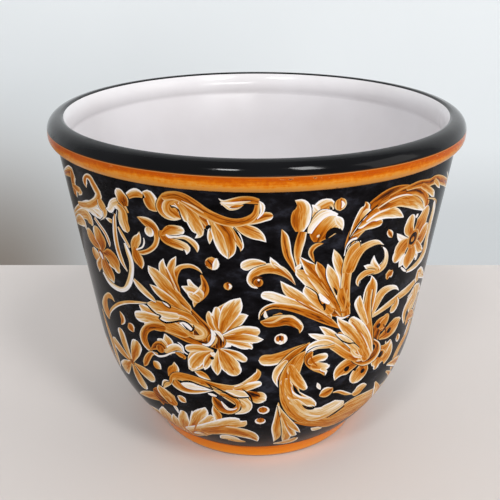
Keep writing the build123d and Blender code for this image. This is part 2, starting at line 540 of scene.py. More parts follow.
# %% Small flower at the left
motif = "small flower at the left"
rounded([(-49.2, 148.5, 2.2), (-52.7, 150, 4.4), (-54.6, 152, 5.1)], "ggd", "opc", edge=0.25)
rounded([(-48.7, 148.2, 2.6), (-48.6, 152.8, 6.1), (-49.3, 156.7, 5.3)], "ogd", "wpo", edge=0.3)
rounded([(-50, 141.2, 1.2), (-53.3, 137.4, 2.7), (-53.7, 139.8, 5.3)], "dgo", "opw", edge=0.25)
stroke([(-49.5, 140.9, 1.7), (-53.6, 133, 2.9), (-54.1, 128.1, 0)], "dgo", "opw", edge=0.25)
stroke([(-49.1, 139.8, 3.5), (-48.5, 134.1, 6.3), (-46.9, 130.4, 4.8),
        (-46, 126.5, 0)], "dgo", "opw", edge=0.3)
rounded([(-47.6, 144.8, 2.3), (-45.1, 144.5, 6.1), (-43.5, 140.9, 5.9),
        (-42.9, 138.6, 3.1)], "dgo", "opw", edge=0.3)
berry(-49.9, 142.9, 3.7, "ggg", "ddd", outlined=0.1)
form([(-50.8, 144.3, 0.9), (-50, 142.5, 1.6),
        (-49.6, 140.1, 0.6)], "www", "www", outlined=0, edge=0)

# %% Bud on its strap
motif = "bud on its strap"
form([(-38.6, 167.8, 0.6), (-37.4, 163.1, 1.4), (-35.5, 156.5, 0.8)], "gow", "cow")
form([(-37.2, 158.5, 0.8), (-36.5, 153.1, 1.8), (-36, 146.8, 1.8), (-36.7, 139.8, 1.8),
        (-38.5, 132, 2), (-41.2, 125.9, 1.5), (-44.9, 123.9, 1.9), (-48.9, 125.4, 2.1),
        (-51.6, 130, 1)], "wwd", "wwd", edge=0.25)
form([(-39, 175.7, 1.1), (-40.3, 163.7, 1.8), (-40.6, 154, 2), (-39.9, 145.9, 1.9),
        (-38.3, 139.7, 0.4)], "cow", "cow", edge=0.3)
form([(-42.4, 177.1, 0), (-40.6, 177.3, 2.2), (-38.9, 181.6, 2.5), (-36.8, 183.5, 2.6),
        (-35.4, 181.8, 2.6), (-34.5, 177.9, 2.3)], "www", "god")
rounded([(-37.6, 181.3, 2.1), (-36.3, 178, 4.1), (-36.3, 172.8, 4),
        (-35.8, 169.3, 3.4)], "gpw", "gcw", merge=0, edge=0.2)
form([(-40.1, 172.7, 0.3), (-38.6, 177.4, 0.4), (-37.5, 178.4, 0.6), (-38, 173.8, 0.4),
        (-37.9, 168.8, 0.4)], "kkk", "kkk", outlined=0, edge=0)
rounded([(-34.4, 182.2, 2.2), (-34.9, 185.6, 4.3), (-35.6, 188.5, 3.7)], "gdg", "www", merge=0, edge=0.3)
berry(-34.5, 186, 1.9, "ddd", "gdg", outlined=0, edge=0)

# %% Beads between the bud and the top acanthus
motif = "beads between the bud and the top acanthus"
form([(-33, 188.8, 1.8), (-31.5, 190.8, 2.3), (-29.8, 191.9, 2.6),
        (-28.2, 190.9, 1.6)], "wod", "wod", edge=0.3)
form([(-28.1, 192.9, 0.5), (-26.7, 191.8, 3.6), (-26.1, 188.5, 4.6), (-25.5, 185.5, 3.8),
        (-24.5, 183.3, 0.4)], "wog", "wog", edge=0.35)

# %% Tendril with three leaves at the left
motif = "tendril with three leaves at the left"
form([(-31.2, 177.6, 0), (-29.3, 176.3, 2.3), (-27.4, 174.7, 3.4), (-26, 171.3, 2.9),
        (-25.8, 167, 1.7), (-26.7, 162.3, 1.5), (-28.8, 158.1, 1.4), (-31.5, 155.4, 1.3),
        (-33.3, 155.6, 0.4)], "pgo", "pgo")
berry(-27.9, 169.9, 3, "www", "coo", outlined=0.15)
stroke([(-33.8, 154.9, 2.3), (-33.6, 159.1, 2.7), (-32.4, 162.9, 2.8), (-31.5, 165.8, 1.5),
        (-31.1, 168.8, 0)], "gog", "wow", edge=0.2)
stroke([(-33.7, 156.5, 2), (-33.3, 151.6, 4), (-32.6, 148.1, 3.1),
        (-32.3, 144.5, 0)], "gog", "wgo", edge=0.2)
form([(-33.2, 156.5, 0.4), (-30.9, 159.2, 0.5), (-30, 162.8, 0.5),
        (-30, 165.3, 0.3)], "www", "www", outlined=0, edge=0)

# %% Top acanthus
motif = "top acanthus"
form([(-19.5, 188.5, 4.5), (-15.8, 184.8, 5.6), (-11.9, 180.3, 4.3), (-8.4, 178.5, 3.6),
        (-4.5, 178.9, 2.3)], "ogo", "ogo", grain=0.22)
form([(-10.4, 178.2, 1.6), (-11, 174.9, 1.8), (-11.4, 170.9, 1.4),
        (-11.6, 167, 0)], "gow", "pcw", edge=0.2)
stroke([(-17.4, 188.5, 3.1), (-15.8, 183.6, 4), (-15, 179.1, 3.9), (-14.3, 175.7, 3.6),
        (-13.9, 172.8, 1.9), (-15.2, 170.2, 0.1)], "goc", "cpw", edge=0.25)
stroke([(-6.9, 179.3, 1.7), (-5.3, 174.7, 2.5), (-4.2, 169.4, 2.1), (-3.7, 166.4, 1.2),
        (-4, 164, 0)], "wgo", "wgo", edge=0.25)
stroke([(-10.6, 182.3, 2.8), (-9.7, 175.4, 2.8), (-8.9, 168.9, 3.1), (-8.1, 163.5, 2.3),
        (-7.2, 159.4, 0.2)], "goc", "cpw", edge=0.25)
stroke([(-8.9, 180.2, 2.9), (-7, 174.5, 3.3), (-6.3, 168, 2.9), (-6.2, 163.1, 1.8),
        (-7.1, 159.1, 0)], "dgo", "wog", edge=0.25)
form([(-5.2, 180.6, 1.7), (-2.8, 177.2, 3.2), (-0.6, 174.9, 3.5), (1.1, 172.5, 2.2),
        (2.4, 169.5, 0)], "ogo", "wpw", edge=0.25)
rounded([(-2.8, 181.3, 1.7), (-0.1, 182.7, 2.3), (1.8, 184.4, 2.7),
        (2.7, 184.6, 2.4)], "dgo", "ogw", edge=0.3)
stroke([(0.1, 183.1, 0.2), (1.2, 186.6, 0.9), (1.3, 190.6, 1.3),
        (0.4, 193.5, 0.2)], "ppw", "wpw", merge=0.1)
form([(-16, 186.5, 0.4), (-14.6, 181.5, 0.6), (-13.5, 177.7, 0.5),
        (-12.9, 174.9, 0.2)], "ggg", "ooo", outlined=0, grain=0.05, edge=0)
form([(-15, 185.5, 0.2), (-12.9, 180.1, 0.5),
        (-12, 177.4, 0.2)], "ooo", "ccc", outlined=0, grain=0.05, edge=0)
form([(-9.9, 181.2, 0.5), (-8.1, 175, 0.7), (-7.1, 168.5, 0.5),
        (-6.8, 163.1, 0.2)], "ggg", "ooo", outlined=0, grain=0.05, edge=0)
form([(-8.4, 180.3, 0.3), (-6.3, 174.6, 0.5),
        (-4.9, 169.3, 0.2)], "ddd", "ggg", outlined=0, grain=0.05, edge=0)
form([(-4, 179.5, 0.3), (-1.6, 177.3, 0.5),
        (0.8, 174.9, 0.2)], "ddd", "ggg", outlined=0, grain=0.05, edge=0)
form([(-5.6, 177.9, 0.2), (-4.7, 175, 0.6), (-3.8, 171.2, 0.3),
        (-3.6, 169.4, 0.1)], "kkk", "kkk", outlined=0, edge=0)
form([(-12.4, 176, 0.2), (-11.7, 177.5, 1.1), (-11, 178.4, 0.3),
        (-11.3, 175.1, 0.2)], "kkk", "kkk", outlined=0, edge=0)
form([(-18, 193.7, 0.9), (-19.5, 193.7, 2.5), (-21.6, 191.8, 3.1), (-23.4, 187.9, 2.4),
        (-23.7, 184.3, 1.9), (-22.4, 181.2, 1.5), (-20.2, 180.3, 1.1),
        (-18.3, 180.9, 0.2)], "dgd", "cow", grain=0.18)
form([(-19.1, 192.1, 1.5), (-21, 188.7, 3.2), (-21.2, 185.1, 4.3), (-19.8, 182.6, 2.9),
        (-18.4, 181.3, 0.4)], "oop", "ogw", outlined=0, edge=0)
form([(-19.5, 189.7, 0.6), (-18.3, 186.8, 1.6), (-17.5, 183.2, 2.5), (-17, 180.3, 1.4),
        (-16.3, 179.7, 0.1)], "ogw", "wpw", outlined=0, edge=0)
form([(-20.8, 188.1, 0.3), (-20.5, 186.9, 0.5), (-19.6, 187.3, 0.5), (-18.7, 185.6, 0.4),
        (-18.4, 182.4, 0.4), (-17.8, 179.6, 0.2)], "kkk", "kkk", outlined=0, edge=0)
form([(-20.5, 187.7, 0.1), (-19.7, 187.9, 0.4),
        (-18.8, 186.7, 0.2)], "www", "www", outlined=0, edge=0)
stroke([(-22, 192.4, 2.2), (-19.5, 193.7, 2.6), (-17.2, 192.5, 3.1), (-14.8, 189.3, 3.3),
        (-12.2, 185.6, 3), (-9.3, 182.7, 2.8), (-6.4, 181, 2.5), (-4, 181.1, 2.3), (-1.8, 182.8, 2.2),
        (-0.4, 185.7, 1.8), (0.1, 189.5, 1.4), (0.1, 193.1, 1.2)], "ggo", "dgo", merge=0.05, grain=0.22)
form([(-17.8, 191.2, 0.2), (-15.1, 188.7, 0.6),
        (-12.5, 185.5, 0.3)], "ppc", "ccc", outlined=0, grain=0.05, edge=0)
form([(-15.2, 186.7, 0.2), (-12.3, 183.2, 0.5),
        (-9.9, 180.6, 0.2)], "ooo", "ccc", outlined=0, grain=0.05, edge=0)
form([(0.5, 192.9, 1.5), (-1.1, 193.7, 2), (-3.4, 193.8, 2), (-5.8, 192.7, 1.7),
        (-7.7, 192.5, 0.8), (-9, 194.7, 0)], "ddg", "opw")
form([(-8.2, 191.5, 0.9), (-6, 191, 1.4), (-3.9, 191.9, 1),
        (-1.4, 193.1, 0.2)], "wpw", "pcc", outlined=0, edge=0)
form([(-8.4, 191.9, 0.3), (-7.1, 190, 0.9), (-6.1, 188.4, 0.7), (-4.4, 188.9, 0.4),
        (-3.3, 190.3, 0.1)], "wpp", "wow", outlined=0, edge=0)
form([(-6, 189.7, 0.3), (-4.6, 190.2, 0.8),
        (-3.1, 190.9, 0.3)], "ggg", "ooo", outlined=0, edge=0)
berry(-11.3, 155.9, 3.8, "ooo", "ooo")
form([(-12.6, 157.5, 1.3), (-11.8, 155.4, 2.7),
        (-11.6, 153.6, 1.5)], "ddd", "dgd", outlined=0, edge=0)
form([(-10.1, 159.2, 0.5), (-10.2, 156.1, 1.8), (-10.6, 153.5, 1.5),
        (-11.3, 152.1, 0.3)], "www", "www", outlined=0, edge=0)
berry(-7.5, 142.3, 2.3, "goo", "ddg")
form([(-7.2, 143.8, 0.2), (-6.7, 142.4, 0.8),
        (-7.2, 140.8, 0.2)], "www", "www", outlined=0, edge=0)

# %% Small leaf under the top acanthus
motif = "small leaf under the top acanthus"
form([(-23.9, 172.3, 1.8), (-23.4, 168.2, 3.2), (-21.3, 165.9, 3), (-19.1, 164.8, 2.9),
        (-17.6, 163.4, 2.2), (-17.9, 159.3, 0)], "ogd", "pww", grain=0.2)
rounded([(-24, 170, 1.2), (-22.1, 172.9, 2.7), (-20.3, 173.6, 3),
        (-19, 173.9, 2.6)], "ddg", "pww", merge=0.1, grain=0.2)
form([(-22.2, 169.4, 0.2), (-20.2, 169.4, 0.7), (-18, 170.1, 1.3), (-16.2, 168.3, 1.7),
        (-15, 165.3, 1.6), (-14.9, 161.4, 0)], "wpd", "wog")
form([(-23, 170.2, 0.4), (-22.2, 169.1, 0.9), (-20.5, 169.7, 0.5),
        (-18, 170.7, 0.2)], "www", "www", outlined=0, edge=0)
form([(-22.4, 175.2, 0.3), (-20.8, 174.9, 0.6),
        (-19.4, 175, 0.2)], "ddd", "ggg", outlined=0, grain=0.05, edge=0)
form([(-22.1, 165.6, 0.3), (-19.9, 164.8, 0.6),
        (-18.2, 162.9, 0.3)], "ddd", "ggg", outlined=0, grain=0.05, edge=0)

# %% Tulip
motif = "tulip"
form([(10.1, 149.3, 0), (9, 155.3, 1.4), (7.7, 161.7, 2.2), (7.1, 167.9, 2.4), (6.7, 172.8, 1.9),
        (5.9, 177.4, 0)], "gdw", "ogw")
form([(11.1, 174.8, 2.2), (10.7, 169.8, 2.6), (10.3, 165, 2.4), (10.2, 160.1, 1.8),
        (10.5, 155.7, 1.1), (10.6, 152.9, 0.4)], "pgd", "pgw")
form([(9.6, 153.1, 0.5), (10.6, 153.7, 1.4),
        (11.2, 155.7, 0.4)], "www", "www", outlined=0, edge=0)
form([(13.2, 179.8, 0.3), (13.8, 184.3, 2.6), (15, 187.3, 4.1), (16.2, 189, 4.1),
        (17.5, 190, 2.3), (18.2, 188.3, 1), (18.3, 186.1, 0.2)], "wog", "wco")
stroke([(14.2, 187.4, 1.9), (13.4, 189, 1), (12.8, 190.1, 0)], "owo", "www")
form([(10.3, 175.1, 2.2), (10.4, 179.4, 4.7), (10.5, 184, 5.3), (10.8, 188, 4.4),
        (10.2, 191.3, 2.7), (8.8, 193.1, 0.1)], "dow", "gcw")
form([(9.8, 176.5, 0.2), (9.4, 182.5, 0.7), (9.6, 188.2, 0.5),
        (9.4, 191.7, 0.2)], "ddd", "ggg", outlined=0, grain=0.05, edge=0)
rounded([(14.6, 177.4, 3.2), (15, 174.3, 4.2), (15.2, 173.4, 3.7)], "gdg", "ddd", merge=0)
form([(14.9, 168, 1.8), (15.1, 170.7, 4.8), (15.9, 174.4, 7.5), (16.9, 177.8, 9),
        (18.1, 180.4, 8.5), (19.2, 182.2, 4.6)], "ddg", "www", edge=0.2, grain=0.16)
form([(12.8, 173.6, 1.2), (13.3, 177.1, 2), (14.5, 180.7, 2.1), (16.1, 183.5, 1.9),
        (17.9, 184.1, 1.4), (19.6, 182.6, 0.8)], "owp", "www", outlined=0, grain=0.1)
form([(19.1, 181.6, 1), (20.3, 178.9, 2.3), (21.1, 175.7, 1.4),
        (21.4, 173.2, 0.2)], "wwc", "wcc", outlined=0)
form([(17.2, 169.3, 0.6), (18, 172.4, 2), (19.2, 173.8, 1.9), (20.7, 172.5, 1.3),
        (21.6, 170.7, 0.4)], "kkk", "kkk", outlined=0, edge=0, grain=0)
form([(14.8, 170.9, 0.3), (15.1, 171.4, 0.8),
        (15.4, 172.2, 0.3)], "wpc", "wpc", outlined=0, edge=0)
form([(14.9, 155.1, 0), (13.9, 159.4, 1.1), (13.5, 162.5, 1.4), (14.2, 165.3, 1.5),
        (15.5, 166.6, 1), (16.9, 166.6, 0)], "wdd", "ddw")
berry(20.1, 188.6, 3.5, "ooc", "dgo")
form([(20.3, 190.5, 0.2), (20.9, 188.3, 1),
        (20.5, 186.5, 0.3)], "www", "www", outlined=0, edge=0)

# %% Scroll leaf with a curl
motif = "scroll leaf with a curl"
form([(10.3, 142.1, 0), (8.5, 147.8, 1.4), (6.3, 151.9, 2.6), (3.7, 153.9, 3.1),
        (1.1, 153.2, 2.9), (-0.9, 150.4, 2.5), (-1.7, 146.5, 1.9), (-0.9, 143, 1.3),
        (0.3, 141.6, 0.2)], "doo", "gcw", grain=0.22, edge=0.3)
rounded([(2.3, 157.1, 0.5), (0.4, 157.5, 2), (-1.4, 157, 2.9), (-2.6, 155.7, 3.1)], "oow", "pww", merge=0)
stroke([(6.3, 152.5, 1.4), (4.7, 155.8, 1.8), (3.8, 158.4, 1.3), (3.3, 161, 0)], "gow", "www", outlined=0)
form([(10.1, 143, 0.1), (7.4, 150, 0.8), (5.3, 152.7, 1),
        (3.2, 152.7, 0.5)], "ddd", "ggg", outlined=0, grain=0.05, edge=0)
form([(8.8, 147.8, 0.2), (6.3, 153.5, 0.5),
        (4.2, 156.5, 0.2)], "ccc", "www", outlined=0, grain=0.05, edge=0)
berry(0.4, 145.1, 2.6, "rdd", "ddg", outlined=0.3)
form([(-1.2, 144.3, 0.2), (-0.9, 147.3, 0.5), (0.1, 148.7, 0.6),
        (1.4, 148.1, 0.2)], "rrr", "rrr", outlined=0, edge=0)
berry(0.5, 146.7, 0.7, "www", "www", outlined=0, edge=0)
berry(6.8, 107.4, 3.7, "www", "www", edge=0)
berry(6.5, 107.7, 2.3, "gdg", "ddd", outlined=0, edge=0)
berry(6.6, 105.7, 0.7, "ccc", "www", outlined=0)

# %% Middle acanthus
motif = "middle acanthus"
form([(27, 115.9, 0.9), (24.4, 120.4, 3.7), (21.2, 125.2, 5.8), (18, 127.7, 5.5),
        (14.9, 131.4, 3.6)], "ddd", "dgg", grain=0.22)
stroke([(25.1, 124.2, 3.5), (23.4, 131, 3.5), (22.4, 136.8, 2.9)], "dgg", "ogg", outlined=0)
stroke([(20.3, 118.7, 2.3), (16.7, 124.8, 3.5), (13.2, 130.5, 3.6), (10.3, 135.8, 3.6),
        (8, 140.3, 2.8), (6, 146.1, 0)], "ooo", "opw", edge=0.3)
stroke([(20.4, 122.8, 2.8), (17.4, 129.3, 3.2), (14.8, 134.8, 3.1), (13.1, 138.5, 2.2),
        (12.7, 141.7, 0)], "gog", "wpo", edge=0.25)
rounded([(18.7, 119.3, 2.4), (14, 125.6, 3), (9.9, 129.9, 3.3), (6.5, 133.8, 3.1),
        (3.7, 136.4, 3.1), (2.4, 136.9, 2.7)], "goo", "www", edge=0.3)
stroke([(25.2, 108.1, 0), (20.5, 115.7, 2.4), (15.9, 121.5, 2.7), (11.6, 126.4, 2.6),
        (7.6, 129.2, 2.2), (4.6, 130, 1.9), (2.4, 128.4, 1.6), (1.1, 125.4, 1.1),
        (0.6, 121.3, 0.2)], "ddo", "dow", merge=0.1, grain=0.2)
form([(2.3, 126.8, 0.3), (2.4, 123.4, 1.1), (3.5, 121, 0.2)], "www", "www", outlined=0, edge=0)
form([(1.1, 120.7, 0.2), (1.1, 124.7, 0.3), (2.3, 127.8, 0.4), (4.3, 129.4, 0.3),
        (6, 128.8, 0.2)], "kkk", "kkk", outlined=0, edge=0)
form([(10.3, 133.2, 0.2), (13.9, 127.3, 0.5), (18.3, 121.5, 0.4),
        (21.7, 116, 0.2)], "ddd", "ddd", outlined=0, grain=0.05, edge=0)
form([(9.1, 137.4, 0.2), (12.1, 131.8, 0.5),
        (15.7, 125.8, 0.2)], "ooo", "ggg", outlined=0, grain=0.05, edge=0)
stroke([(20.9, 130.7, 2.8), (17.6, 136.6, 3.3), (14.5, 142.7, 3.4), (12.3, 147.8, 3.3),
        (10.7, 150.6, 2.2), (10.1, 152.8, 0.1)], "oog", "wcg", edge=0.25, grain=0.22)
stroke([(24.7, 120.2, 2.9), (21.5, 130.5, 4), (18.4, 138.9, 4.4), (15.8, 146.2, 4.3),
        (13.9, 151.8, 3.6), (12.1, 156.6, 1.9), (10.5, 160.6, 0)], "ogd", "wgo", merge=0.1, grain=0.24)
stroke([(22.5, 130.8, 2.2), (19.4, 139.9, 3.1), (17.3, 147.7, 2.6), (16, 152.5, 2.2),
        (15.4, 156, 0.2)], "dgd", "wdo", grain=0.2, edge=0.1)
stroke([(19.8, 128.4, 1), (18, 131.8, 1.5), (16.8, 135.5, 0.6)], "www", "www", outlined=0, edge=0)
form([(12.9, 141.5, 0.2), (14.7, 138.8, 0.3), (16.2, 135.7, 0.4), (17.1, 130.7, 0.5),
        (18.1, 127.1, 0.3)], "kkk", "kkk", outlined=0, edge=0)
form([(18.1, 127.1, 0.3), (18.5, 127.9, 1), (18.9, 124.7, 0.6),
        (18.7, 123.8, 0.2)], "kkk", "kkk", outlined=0, edge=0)
form([(11.2, 151.8, 0.2), (14.4, 145.3, 0.5), (17.5, 138.6, 0.3),
        (19.6, 133.2, 0.2)], "ooo", "ccc", outlined=0, grain=0.05, edge=0)
form([(12.2, 156, 0.3), (14.8, 149.1, 0.5), (18, 141, 0.4),
        (20.8, 132.1, 0.2)], "ddd", "ddd", outlined=0, grain=0.05, edge=0)
form([(15.8, 153.3, 0.2), (17.8, 145.6, 0.5),
        (20.2, 137.6, 0.3)], "ddd", "ddd", outlined=0, grain=0.05, edge=0)
form([(11, 159.7, 0.2), (12.9, 157, 0.5),
        (14.6, 154.9, 0.2)], "www", "www", outlined=0.2, edge=0)
form([(24.3, 126.6, 2.3), (22.1, 136.9, 3.2), (20.2, 144.5, 3.2), (19.1, 149.4, 2.2),
        (18.4, 153.7, 0.2)], "goo", "wpo", edge=0.3)
stroke([(24, 136.8, 2.4), (23.1, 145, 2.8), (21.6, 152, 3), (20.5, 157.5, 2.4),
        (19.6, 162.6, 0)], "wgo", "wpo", edge=0.2)
form([(20.8, 138.1, 0.2), (21.7, 135.1, 0.8), (22.3, 132.2, 0.4),
        (22.1, 131.6, 0.2)], "kkk", "kkk", outlined=0, edge=0)
form([(21.9, 132.5, 0.4), (22.9, 129.2, 0.6),
        (23.9, 127.6, 0.2)], "www", "www", outlined=0, edge=0)
form([(26.1, 117.1, 2.6), (24.8, 128.4, 3.3), (24.4, 139.2, 3), (24.5, 148.3, 3.2),
        (25, 155.8, 4.1), (25.7, 160.4, 4), (26.5, 163.5, 2.3),
        (27.3, 164.6, 0.2)], "ogo", "wcc", grain=0.22, outlined=0.3)
stroke([(25.5, 124, 2.9), (23.8, 130.2, 3), (23.2, 136.5, 1.9)], "ggg", "ogg", outlined=0, grain=0.2)
stroke([(25.9, 155.4, 3.1), (27.5, 159.1, 3), (29.6, 160.8, 2.3), (31.9, 161.2, 1.5),
        (33.7, 160.5, 0.9), (35.4, 158.3, 0.1)], "coo", "wco", merge=0.2)
form([(24.8, 143, 0.3), (25.1, 150.7, 0.6),
        (25.9, 156.7, 0.4)], "ggg", "ooo", outlined=0, grain=0.05, edge=0)
form([(25.1, 119.3, 0.3), (25.3, 126.1, 0.6),
        (25.2, 134.9, 0.3)], "ooo", "ccc", outlined=0, grain=0.05, edge=0)
form([(34.6, 157.9, 0.1), (36.1, 155.2, 0.9), (37, 150.5, 1.3), (36.8, 146.1, 2.4),
        (35.1, 143.1, 2.7), (32.9, 142.3, 1.9), (30.1, 142.5, 1.9), (28.6, 139.8, 1.8),
        (28.7, 134.6, 0)], "cgp", "wow")
stroke([(34.2, 143, 1.9), (32.7, 148.3, 2.3), (32.5, 153.5, 0)], "ooc", "www")
stroke([(33.6, 142.9, 1.7), (31.1, 146.6, 1.8), (29.4, 148.2, 0)], "goc", "www")
form([(22.7, 118.1, 0.3), (25, 115.9, 0.6),
        (27.2, 117, 0.2)], "www", "www", outlined=0.2, edge=0)
form([(21.2, 124.5, 0.3), (24, 120.5, 0.6),
        (26.1, 119.6, 0.3)], "ggg", "ddd", outlined=0, grain=0.05, edge=0)

# %% Curled leaf under the middle acanthus
motif = "curled leaf under the middle acanthus"
rounded([(5, 121.9, 2.4), (6.2, 123.6, 1.7)], "ggg", "dgo", merge=0)
form([(1, 119.7, 0.5), (2.8, 119, 2.9), (5.3, 119.8, 3.7), (8.1, 120.1, 3.4), (10.7, 117.9, 2.8),
        (12.3, 114, 1.7), (12.1, 109.9, 0)], "ogd", "wgo", grain=0.2)
form([(1.9, 119.2, 0.2), (4.4, 119.2, 0.6), (7.2, 122.4, 0.8), (9.5, 122.4, 0.8),
        (11.3, 119.5, 0.6), (12.5, 116.1, 0.3)], "ccc", "www", outlined=0, edge=0)
form([(2.2, 117.8, 0.2), (5, 116.9, 0.6), (8.1, 117.7, 0.5),
        (10.8, 114.7, 0.3)], "ddd", "ddd", outlined=0, edge=0)

# %% Big scroll at the bottom
motif = "big scroll at the bottom"
rounded([(15.5, 102.6, 0.6), (11.9, 99.1, 2.5), (8.4, 95.4, 3.7), (4.8, 93, 4),
        (2.7, 92.9, 4)], "cod", "wcg", merge=0, edge=0.25, grain=0.2)
form([(14.9, 102.1, 0.6), (11.4, 97.1, 2.2), (8.8, 90.9, 3.1), (7, 84.6, 3), (6, 78.8, 1.2),
        (6.3, 76, 0.1)], "ddo", "ddo", grain=0.2)
stroke([(8.5, 91, 1.4), (6.5, 86.1, 2.4), (5.5, 80.3, 1.8), (5.9, 75.7, 0.8),
        (6.6, 72.3, 0)], "coc", "wpw", merge=0.1)
form([(14.7, 97.6, 0.3), (13, 93.6, 2.9), (11.2, 87.4, 4.7), (10, 79.5, 5.6), (10, 71, 5.7),
        (11.2, 60.8, 6.5), (14.6, 49.7, 7.4), (19.5, 40.7, 7.5), (25.3, 34.4, 8.4), (31.4, 31.5, 12.6),
        (37.6, 32.9, 15), (45.1, 33.5, 13), (53, 33, 9), (60, 36, 5),
        (66, 41, 0)], "oog", "pco", grain=0.24)
rounded([(10.1, 86.2, 2.6), (12, 78.2, 3.4), (14.1, 72.2, 2.7), (14.9, 70.2, 2)], "goo", "wco", edge=0.25)
stroke([(8.8, 75.9, 3), (10.6, 67.7, 3.7), (13.7, 61.5, 4.3), (16.9, 57.3, 3.7), (19.2, 54.3, 1.7),
        (19.8, 51.4, 0.1)], "oco", "wow", edge=0.3)
stroke([(12.3, 57.7, 4), (17, 47, 5.4), (22, 42.9, 7.1), (25.8, 44.5, 7.6), (29.3, 46.8, 7.1),
        (30.7, 48.6, 3.4), (31.2, 49.4, 0.6)], "pcc", "wwc", edge=0.1)
form([(10.5, 72.5, 0.2), (11.4, 67.5, 0.6), (14.1, 62.8, 0.7),
        (17, 60.8, 0.4)], "www", "www", outlined=0, edge=0)
form([(11.2, 73.4, 0.2), (12, 69.7, 1), (12.9, 66.6, 0.9),
        (14.4, 63.8, 0.2)], "kkk", "kkk", outlined=0, edge=0)
form([(14.9, 55.8, 0.2), (16.9, 52.1, 1.2), (19.1, 50.5, 1.3),
        (20, 52.4, 0.3)], "kkk", "kkk", outlined=0, edge=0)
form([(26.5, 35.1, 0.5), (29.8, 38.7, 1.3),
        (32.7, 43.2, 0.8)], "kkk", "kkk", outlined=0, edge=0)
form([(9.1, 87.9, 0.2), (8.2, 79.8, 0.9), (8, 71.5, 0.8),
        (9.2, 61.3, 0.4)], "ggg", "ooo", outlined=0, grain=0.08, edge=0)
form([(10.1, 86.2, 0.2), (9.7, 78.8, 0.7), (10.4, 70.2, 0.7),
        (11.6, 62.4, 0.2)], "ggg", "ggg", outlined=0, grain=0.08, edge=0)
form([(12.2, 90.9, 0.3), (11.4, 84.4, 0.6), (11.9, 77.5, 0.5),
        (13.7, 71.5, 0.2)], "ooo", "ggg", outlined=0, grain=0.08, edge=0)
form([(9, 68.1, 0.3), (10.3, 57.4, 0.9), (14.2, 45.2, 1),
        (19.8, 35.1, 0.5)], "ooo", "ggg", outlined=0, grain=0.08, edge=0)
form([(13.2, 38.9, 0.6), (18.9, 32.4, 1.3), (25.2, 27.6, 2), (32, 24.9, 2.4),
        (39.1, 24.7, 1.2)], "ggg", "ooo", outlined=0, grain=0.08, edge=0)
form([(10.4, 62.7, 0.3), (13.7, 52.5, 0.7), (18.3, 44.1, 0.8),
        (23.2, 39.8, 0.4)], "ccc", "www", outlined=0, grain=0.08, edge=0)

# %% Small fan and crumbs at the bottom
motif = "small fan and crumbs at the bottom"
form([(6.9, 61.1, 0), (7, 55.5, 1.2), (7.1, 45.4, 2.3), (7, 33.6, 2.9), (7.8, 21.4, 2.4),
        (7.2, 12, 0.2)], "ogw", "ocw", edge=0.15)
form([(7, 57.3, 0.5), (8.8, 46.1, 1.6), (10.8, 31, 2.6), (12, 17.7, 2.9),
        (12.2, 5.7, 0.5)], "oco", "poc")
rounded([(9.1, 44.9, 1.3), (12.2, 31.7, 2.3), (14.7, 20.5, 2.2)], "ogo", "wcw", edge=0.2)
stroke([(7.7, 54.4, 0.5), (10.3, 43.4, 1.9), (12.7, 35.4, 2.3), (14.9, 28.9, 1.9),
        (17.5, 22.2, 0)], "cog", "wow", merge=0.1, edge=0.2)
form([(8.2, 50.4, 0.3), (7.4, 36.1, 0.6),
        (7.6, 21.5, 0.3)], "ggg", "ooo", outlined=0, grain=0.05, edge=0)
form([(8.2, 50.4, 0.2), (10.7, 36.2, 0.6),
        (13.3, 23.8, 0.3)], "ggg", "ooo", outlined=0, grain=0.05, edge=0)
form([(7.3, 7.9, 0.8), (11, 7.6, 3.3), (14.6, 9.3, 5),
        (16.7, 14.4, 1.9)], "ccc", "pcp", outlined=0.2)
form([(21.4, 26.1, 0.3), (23.9, 22.7, 2.6), (27.1, 20.4, 0.9)], "cpc", "ccc")

# %% Left acanthus
motif = "left acanthus"
form([(-13.2, 105.1, 2.1), (-15.5, 104.8, 4.5), (-19.2, 106.6, 5.9), (-23, 109.3, 6.3),
        (-27, 110.1, 5.3), (-31.1, 109.3, 4.1)], "ddd", "goo", grain=0.22)
stroke([(-20.1, 109.1, 4), (-23.8, 112.4, 4.5), (-28.5, 114.3, 4.1), (-32.3, 115.9, 3.6),
        (-34.9, 117.7, 3), (-36, 118.9, 0.4)], "goo", "wcw", edge=0.2)
rounded([(-21.4, 107.9, 3.9), (-25.6, 109.8, 4.8), (-29.8, 111.1, 4.8), (-34.4, 111.2, 4.2),
        (-36.9, 110.2, 3.8)], "goo", "wpw", edge=0.25)
stroke([(-29.4, 107.4, 3), (-32.4, 106.7, 2.7), (-35.3, 106, 0.6)], "goo", "pcw")
stroke([(-28.6, 107.8, 2.9), (-32.1, 106.5, 2.7), (-35.1, 102.1, 2.6), (-36.7, 96.2, 3),
        (-36.4, 91.2, 3), (-34.9, 87.8, 1.7), (-33, 86.5, 0)], "ddo", "gow", merge=0.1)
form([(-13.7, 105, 3.9), (-14.7, 111.1, 4.6), (-17.5, 117.8, 4.4), (-20.5, 124.9, 4.2),
        (-22.4, 132.3, 3.9), (-22.8, 139.4, 3.1), (-22.1, 145.6, 2.4), (-20.3, 150.8, 1.5),
        (-18.2, 152.7, 1.3), (-16.5, 152.8, 1.2), (-14.9, 151.2, 0.8),
        (-13.9, 148.5, 0)], "ggd", "wod", grain=0.22)
stroke([(-22, 136.4, 2.4), (-22.9, 142.6, 2.9), (-23, 148.4, 2.4), (-22, 153.6, 2),
        (-20.9, 157.6, 0.2)], "ggd", "wcw", edge=0.2)
stroke([(-22.3, 132.3, 2.5), (-23.8, 139.6, 3.2), (-24.9, 145.7, 3.3), (-25.3, 150.7, 2.2),
        (-24.7, 154.8, 0.2)], "goo", "wpw", edge=0.2)
